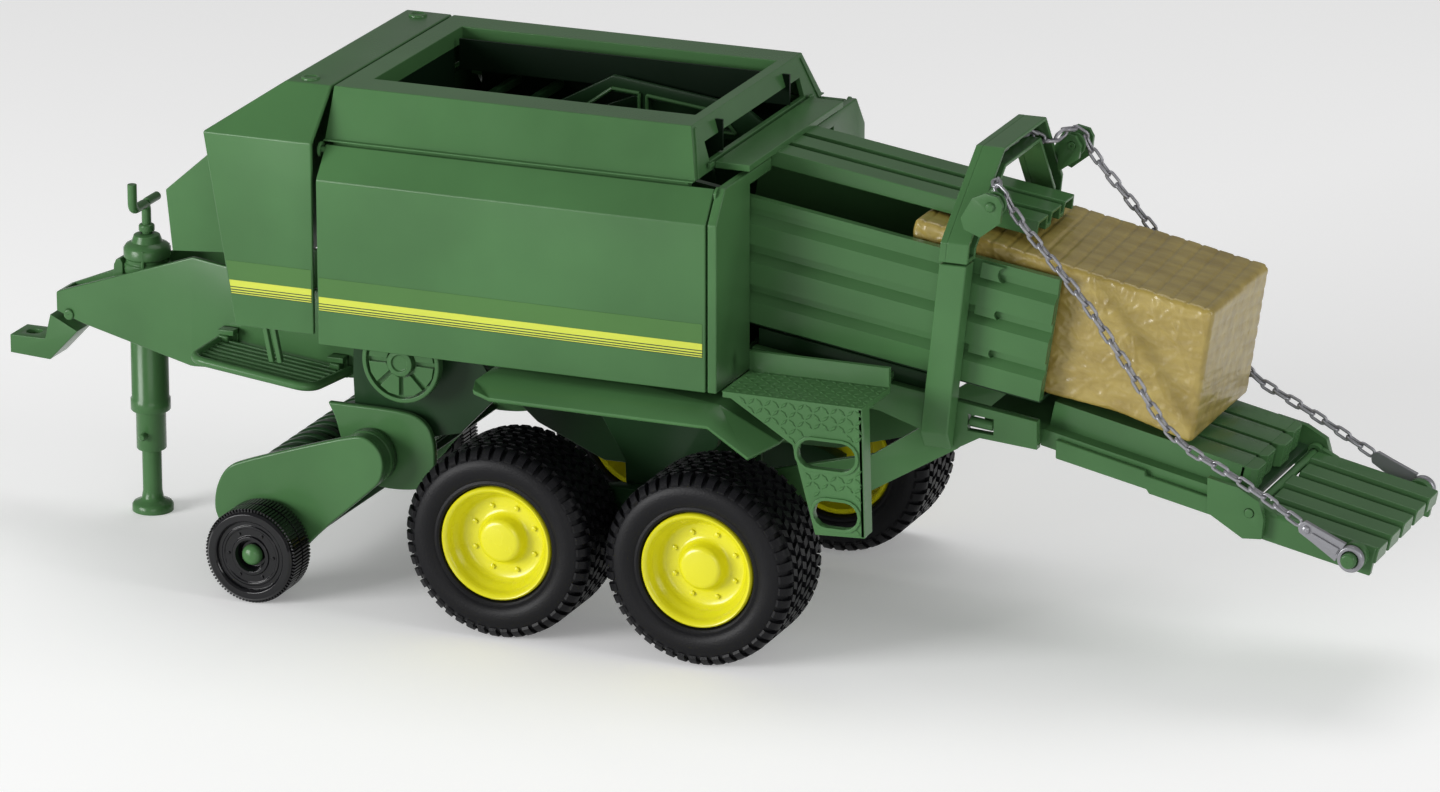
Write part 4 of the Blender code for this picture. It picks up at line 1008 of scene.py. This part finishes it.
def pickup_reel():
    """The tine drum: rounded bands on a core, with paired tines between them."""
    bands, half = 15, 61.0
    pitch = 2 * half / bands
    centre = (REEL_X, 0, REEL_Z)
    # The reel behind the shields takes the green with painted shadow.
    bm = bmesh.new()
    add_lathe(bm, [(0.5, -64), (3, -64), (3, -half), (8, -half), (8, half), (3, half), (3, 64),
                   (0.5, 64)], centre, sides=32)
    for k in range(bands):
        y = -half + pitch * (k + 0.5)
        width = pitch * 0.29
        add_lathe(bm, [(7.8, y - width), (REEL_R - 0.8, y - width), (REEL_R, y - width + 0.8),
                       (REEL_R, y + width - 0.8), (REEL_R - 0.8, y + width), (7.8, y + width)], centre,
                  sides=40)
    piece("reel_bands", bm, PAINTED_SHADOW_GREEN, "pickup_reel", ["pickup_reel"], bevel=0.2, sharp=40)
    bm = bmesh.new()
    for k in range(1, bands):
        y = -half + pitch * k
        for turn in range(4):
            a = TAU * turn / 4 + 0.4
            root = Vector((REEL_X + 7.6 * math.cos(a), y, REEL_Z + 7.6 * math.sin(a)))
            tip = Vector((REEL_X + 14.3 * math.cos(a - 0.25), y, REEL_Z + 14.3 * math.sin(a - 0.25)))
            add_sweep(bm, [root, root.lerp(tip, 0.6), tip], 0.6, 6)
    piece("reel_tines", bm, PAINTED_SHADOW_GREEN, "pickup_reel", bevel=0)


def gauge_wheel(side, s):
    """A glossy wheel with stepped rings on its face and a ribbed tread."""
    i, o = GAUGE_IN, GAUGE_OUT
    profile = [(3.1, i + 1), (14.5, i + 1), (15.4, i), (17.0, i), (17.9, i + 0.9), (17.9, o - 0.9),
               (17.0, o), (14.6, o), (13.9, o - 0.7), (13.6, o - 1.9), (12.2, o - 1.9), (11.9, o - 1.5),
               (11.1, o - 1.5), (10.8, o - 1.9), (8.0, o - 1.9), (7.6, o - 1.2), (6.4, o - 1.2),
               (6.0, o - 2.2), (5.2, o - 5), (3.1, o - 5)]
    bm = bmesh.new()
    add_wheel(bm, s, profile, GAUGE_X, GAUGE_R, 72)
    ribs = 84
    for k in range(ribs):
        a0, a1 = TAU * (k + 0.2) / ribs, TAU * (k + 0.8) / ribs
        for y0, y1 in ((i + 1.4, i + 8.0), (i + 9.0, o - 1.4)):
            rib = ((17.7, a0), (GAUGE_R, a0), (GAUGE_R, a1), (17.7, a1))
            add_prism(bm, [polar(GAUGE_X, GAUGE_R, r, a) for r, a in rib], "y", s * y0, s * y1)
    for k in range(6):
        a = TAU * k / 6
        add_wheel(bm, s, [(0.05, o - 2.0), (0.7, o - 2.0), (0.7, o - 1.3), (0.05, o - 1.3)],
                  GAUGE_X + 9.4 * math.cos(a), GAUGE_R + 9.4 * math.sin(a), 12)
    name = f"gauge_wheel_{side}"
    piece(f"gauge_tyre_{side}", bm, BLACK, name, [name], bevel=0.15, sharp=40)


# ---- tandem wheels

def tyre(side, s, end, x):
    """A tyre with a rounded sidewall, shoulder lugs and staggered rows of tread blocks."""
    i, o = WHEEL_IN, WHEEL_OUT
    middle = (i + o) / 2
    seat, carcass = RIM_R + 0.2, TYRE_R - 1.5
    half = ((seat, 4.4), (23.4, 2.2), (24.2, 1.7), (25.2, 1.9), (26.0, 1.2), (28.0, 0.55), (30.5, 0.45),
            (32.6, 0.9), (34.2, 1.8), (35.4, 3.2), (36.2, 5.0), (carcass, 7.5))
    profile = [(r, o - t) for r, t in half] + [(r, i + t) for r, t in reversed(half)]
    bm = bmesh.new()
    add_wheel(bm, s, profile, x, TYRE_R, 96)
    count, rows = 46, 6
    width = 27.0 / rows
    for row in range(rows):
        y0 = middle - 13.5 + width * row + 0.4
        y1 = y0 + width - 0.8
        lean = 0.22 if row % 2 else -0.22
        for k in range(count):
            a = TAU * (k + 0.5 * (row % 2)) / count
            span = TAU * 0.62 / count
            points = []
            for r, shrink in ((carcass - 0.3, 0), (TYRE_R, 0.12)):
                for y, da in ((y0 + shrink, -lean), (y1 - shrink, lean)):
                    for edge in (-0.5, 0.5):
                        angle = a + span * (edge * (1 - shrink) + da)
                        points.append((x + r * math.cos(angle), s * y, TYRE_R + r * math.sin(angle)))
            add_solid(bm, points, [(0, 1, 3, 2), (4, 5, 7, 6), (0, 1, 5, 4), (2, 3, 7, 6), (0, 2, 6, 4),
                                   (1, 3, 7, 5)])
    lug = ((33.6, 1.3), (34.6, 0.9), (36.6, 2.3), (TYRE_R - 0.3, 4.0), (TYRE_R - 0.1, 5.9), (35.6, 6.0))
    for face, inward in ((o, -1), (i, 1)):
        for k in range(count):
            a = TAU * (k + (0.25 if inward < 0 else 0.75)) / count
            span = TAU * 0.6 / count
            rings = []
            for edge in (-0.5, 0.5):
                angle = a + span * edge
                rings.append([(x + r * math.cos(angle), s * (face + inward * t),
                               TYRE_R + r * math.sin(angle)) for r, t in lug])
            add_rings(bm, rings)
    name = f"wheel_{side}_{end}"
    piece(f"tyre_tread_{side}_{end}", bm, RUBBER, name, [f"tyre_{side}_{end}"], bevel=0, sharp=28)


def rim(side, s, end, x):
    """A deep-dished rim with a rolled lip, a hub cap and a ring of bolt heads."""
    i, o = WHEEL_IN, WHEEL_OUT
    profile = [(0.05, o - 5.4), (6.4, o - 5.4), (7.9, o - 5.8), (8.6, o - 6.8), (9.0, o - 9.6),
               (9.8, o - 10.8), (11.2, o - 11.2), (15.4, o - 11.2), (16.6, o - 10.6), (17.6, o - 9.2),
               (18.2, o - 7.4), (19.2, o - 6.6), (19.8, o - 5.0), (20.2, o - 3.4), (20.9, o - 2.4),
               (21.8, o - 2.0), (22.4, o - 2.5), (RIM_R, o - 3.6), (RIM_R, i + 3.6), (21.6, i + 2.8),
               (20.5, i + 3.6), (19.4, i + 20), (9, i + 20), (9, i + 4), (HUB_BORE, i + 4),
               (HUB_BORE, o - 9), (0.05, o - 9)]
    bm = bmesh.new()
    add_wheel(bm, s, profile, x, TYRE_R, 80)
    bolts = 8
    for k in range(bolts):
        a = TAU * (k + 0.5) / bolts
        add_wheel(bm, s, [(0.05, o - 11.4), (1.05, o - 11.4), (0.95, o - 10.3), (0.05, o - 10.1)],
                  x + 13.2 * math.cos(a), TYRE_R + 13.2 * math.sin(a), 12)
    name = f"wheel_{side}_{end}"
    piece(f"rim_dish_{side}_{end}", bm, YELLOW, name, [f"rim_{side}_{end}"], bevel=0, sharp=50)


# ---- stage, camera and lights

def camera():
    """A long lens from the near rear quarter, above the machine."""
    lens = bpy.data.cameras.new("camera")
    lens.lens, lens.sensor_width = 198.44, 36.0
    lens.clip_end = 50.0
    holder = placed("camera", lens)
    holder.location = at(1127.78, -2690.53, 1015.91)
    aim = at(25.87, 0, 77.39) - holder.location
    holder.rotation_euler = aim.to_track_quat("-Z", "Y").to_euler()
    bpy.context.scene.camera = holder


def area_light(name, place, target, size, watts):
    """A white rectangular lamp in metres, aimed at the target."""
    lamp = bpy.data.lights.new(name, "AREA")
    lamp.shape, lamp.size, lamp.size_y = "RECTANGLE", size[0], size[1]
    lamp.energy = watts
    holder = placed(name, lamp)
    holder.location = place
    holder.rotation_euler = (Vector(target) - Vector(place)).to_track_quat("-Z", "Y").to_euler()


def studio():
    """A pale floor, a soft key from the near front, three weaker lamps and a pale surround."""
    bm = bmesh.new()
    bmesh.ops.create_grid(bm, x_segments=1, y_segments=1, size=6.0)
    mesh = bpy.data.meshes.new("floor")
    bm.to_mesh(mesh)
    bm.free()
    floor = placed("floor", mesh)
    paint, nodes, links = node_material("floor_paint")
    shader = nodes["Principled BSDF"]
    mottle = noise_node(nodes, links, 2.0)
    tint = ramp_node(nodes, links, mottle.outputs["Fac"], 0.3, 0.7, (0.93, 0.93, 0.93), (0.96, 0.96, 0.96))
    links.new(tint.outputs["Color"], shader.inputs["Base Color"])
    shader.inputs["Roughness"].default_value = 0.9
    shader.inputs["Specular IOR Level"].default_value = 0.1
    shader.inputs["Emission Color"].default_value = (1, 1, 1, 1)
    shader.inputs["Emission Strength"].default_value = 0.2
    mesh.materials.append(paint)
    world = bpy.data.worlds.new("surround")
    bpy.context.scene.world = world
    world.use_nodes = True
    world.node_tree.nodes["Background"].inputs["Color"].default_value = (1, 1, 1, 1)
    world.node_tree.nodes["Background"].inputs["Strength"].default_value = 0.26
    middle = (0, 0, 0.09)
    area_light("key", (-1.55, -1.85, 0.55), middle, (1.2, 0.9), 56)
    area_light("front_fill", (0.9, -2.2, 0.5), middle, (1.4, 0.8), 9)
    area_light("rear_side", (2.0, -0.2, 0.8), middle, (0.7, 0.9), 12)
    area_light("over", (0.1, 0.7, 2.0), middle, (1.4, 1.0), 9)
    bpy.context.scene.view_settings.view_transform = "Standard"


# ---- assembly

def carried_over():
    """The CAD nodes whose shape is right, with rounded edges and their finish; those that lie in shade get
    the green with painted shadow.
    """
    greens = ["hood", "nose_cover", "rear_panel", "drawbar", "ramp"]
    # Nodes in shade under and inside the machine take the green with painted shadow.
    painted_shadow_nodes = ["chassis", "chamber_web", "chute_floor"]
    for side, _ in SIDES:
        greens += [f"{part}_{side}" for part in ("door", "fender", "step", "rail", "bracket", "window_pin")]
        painted_shadow_nodes.append(f"bogie_{side}")
    for node in greens:
        refined(node, GREEN)
    for node in painted_shadow_nodes:
        refined(node, PAINTED_SHADOW_GREEN)
    refined("hitch_eye", GREEN, 0.9)
    refined("tail_pin", GREEN, 0.3)


def build():
    """The whole picture, piece by piece."""
    camera()
    studio()
    carried_over()
    hood_details()
    hatch_frame()
    decals()
    door_hinges()
    chamber()
    jack()
    drawbar_details()
    chute_top()
    shadow_plates_under_chute()
    shadow_plate_under_body()
    arch()
    pulleys()
    ramp_details()
    tail_board()
    hooks()
    chain()
    bale()
    pickup()
    cheeks()
    pickup_reel()
    for side, s in SIDES:
        step_tread(side, s)
        platform(side, s)
        flywheel(side, s)
        chute_side(side, s)
        gauge_wheel(side, s)
        for end, x in AXLE_X:
            tyre(side, s, end, x)
            rim(side, s, end, x)


build()
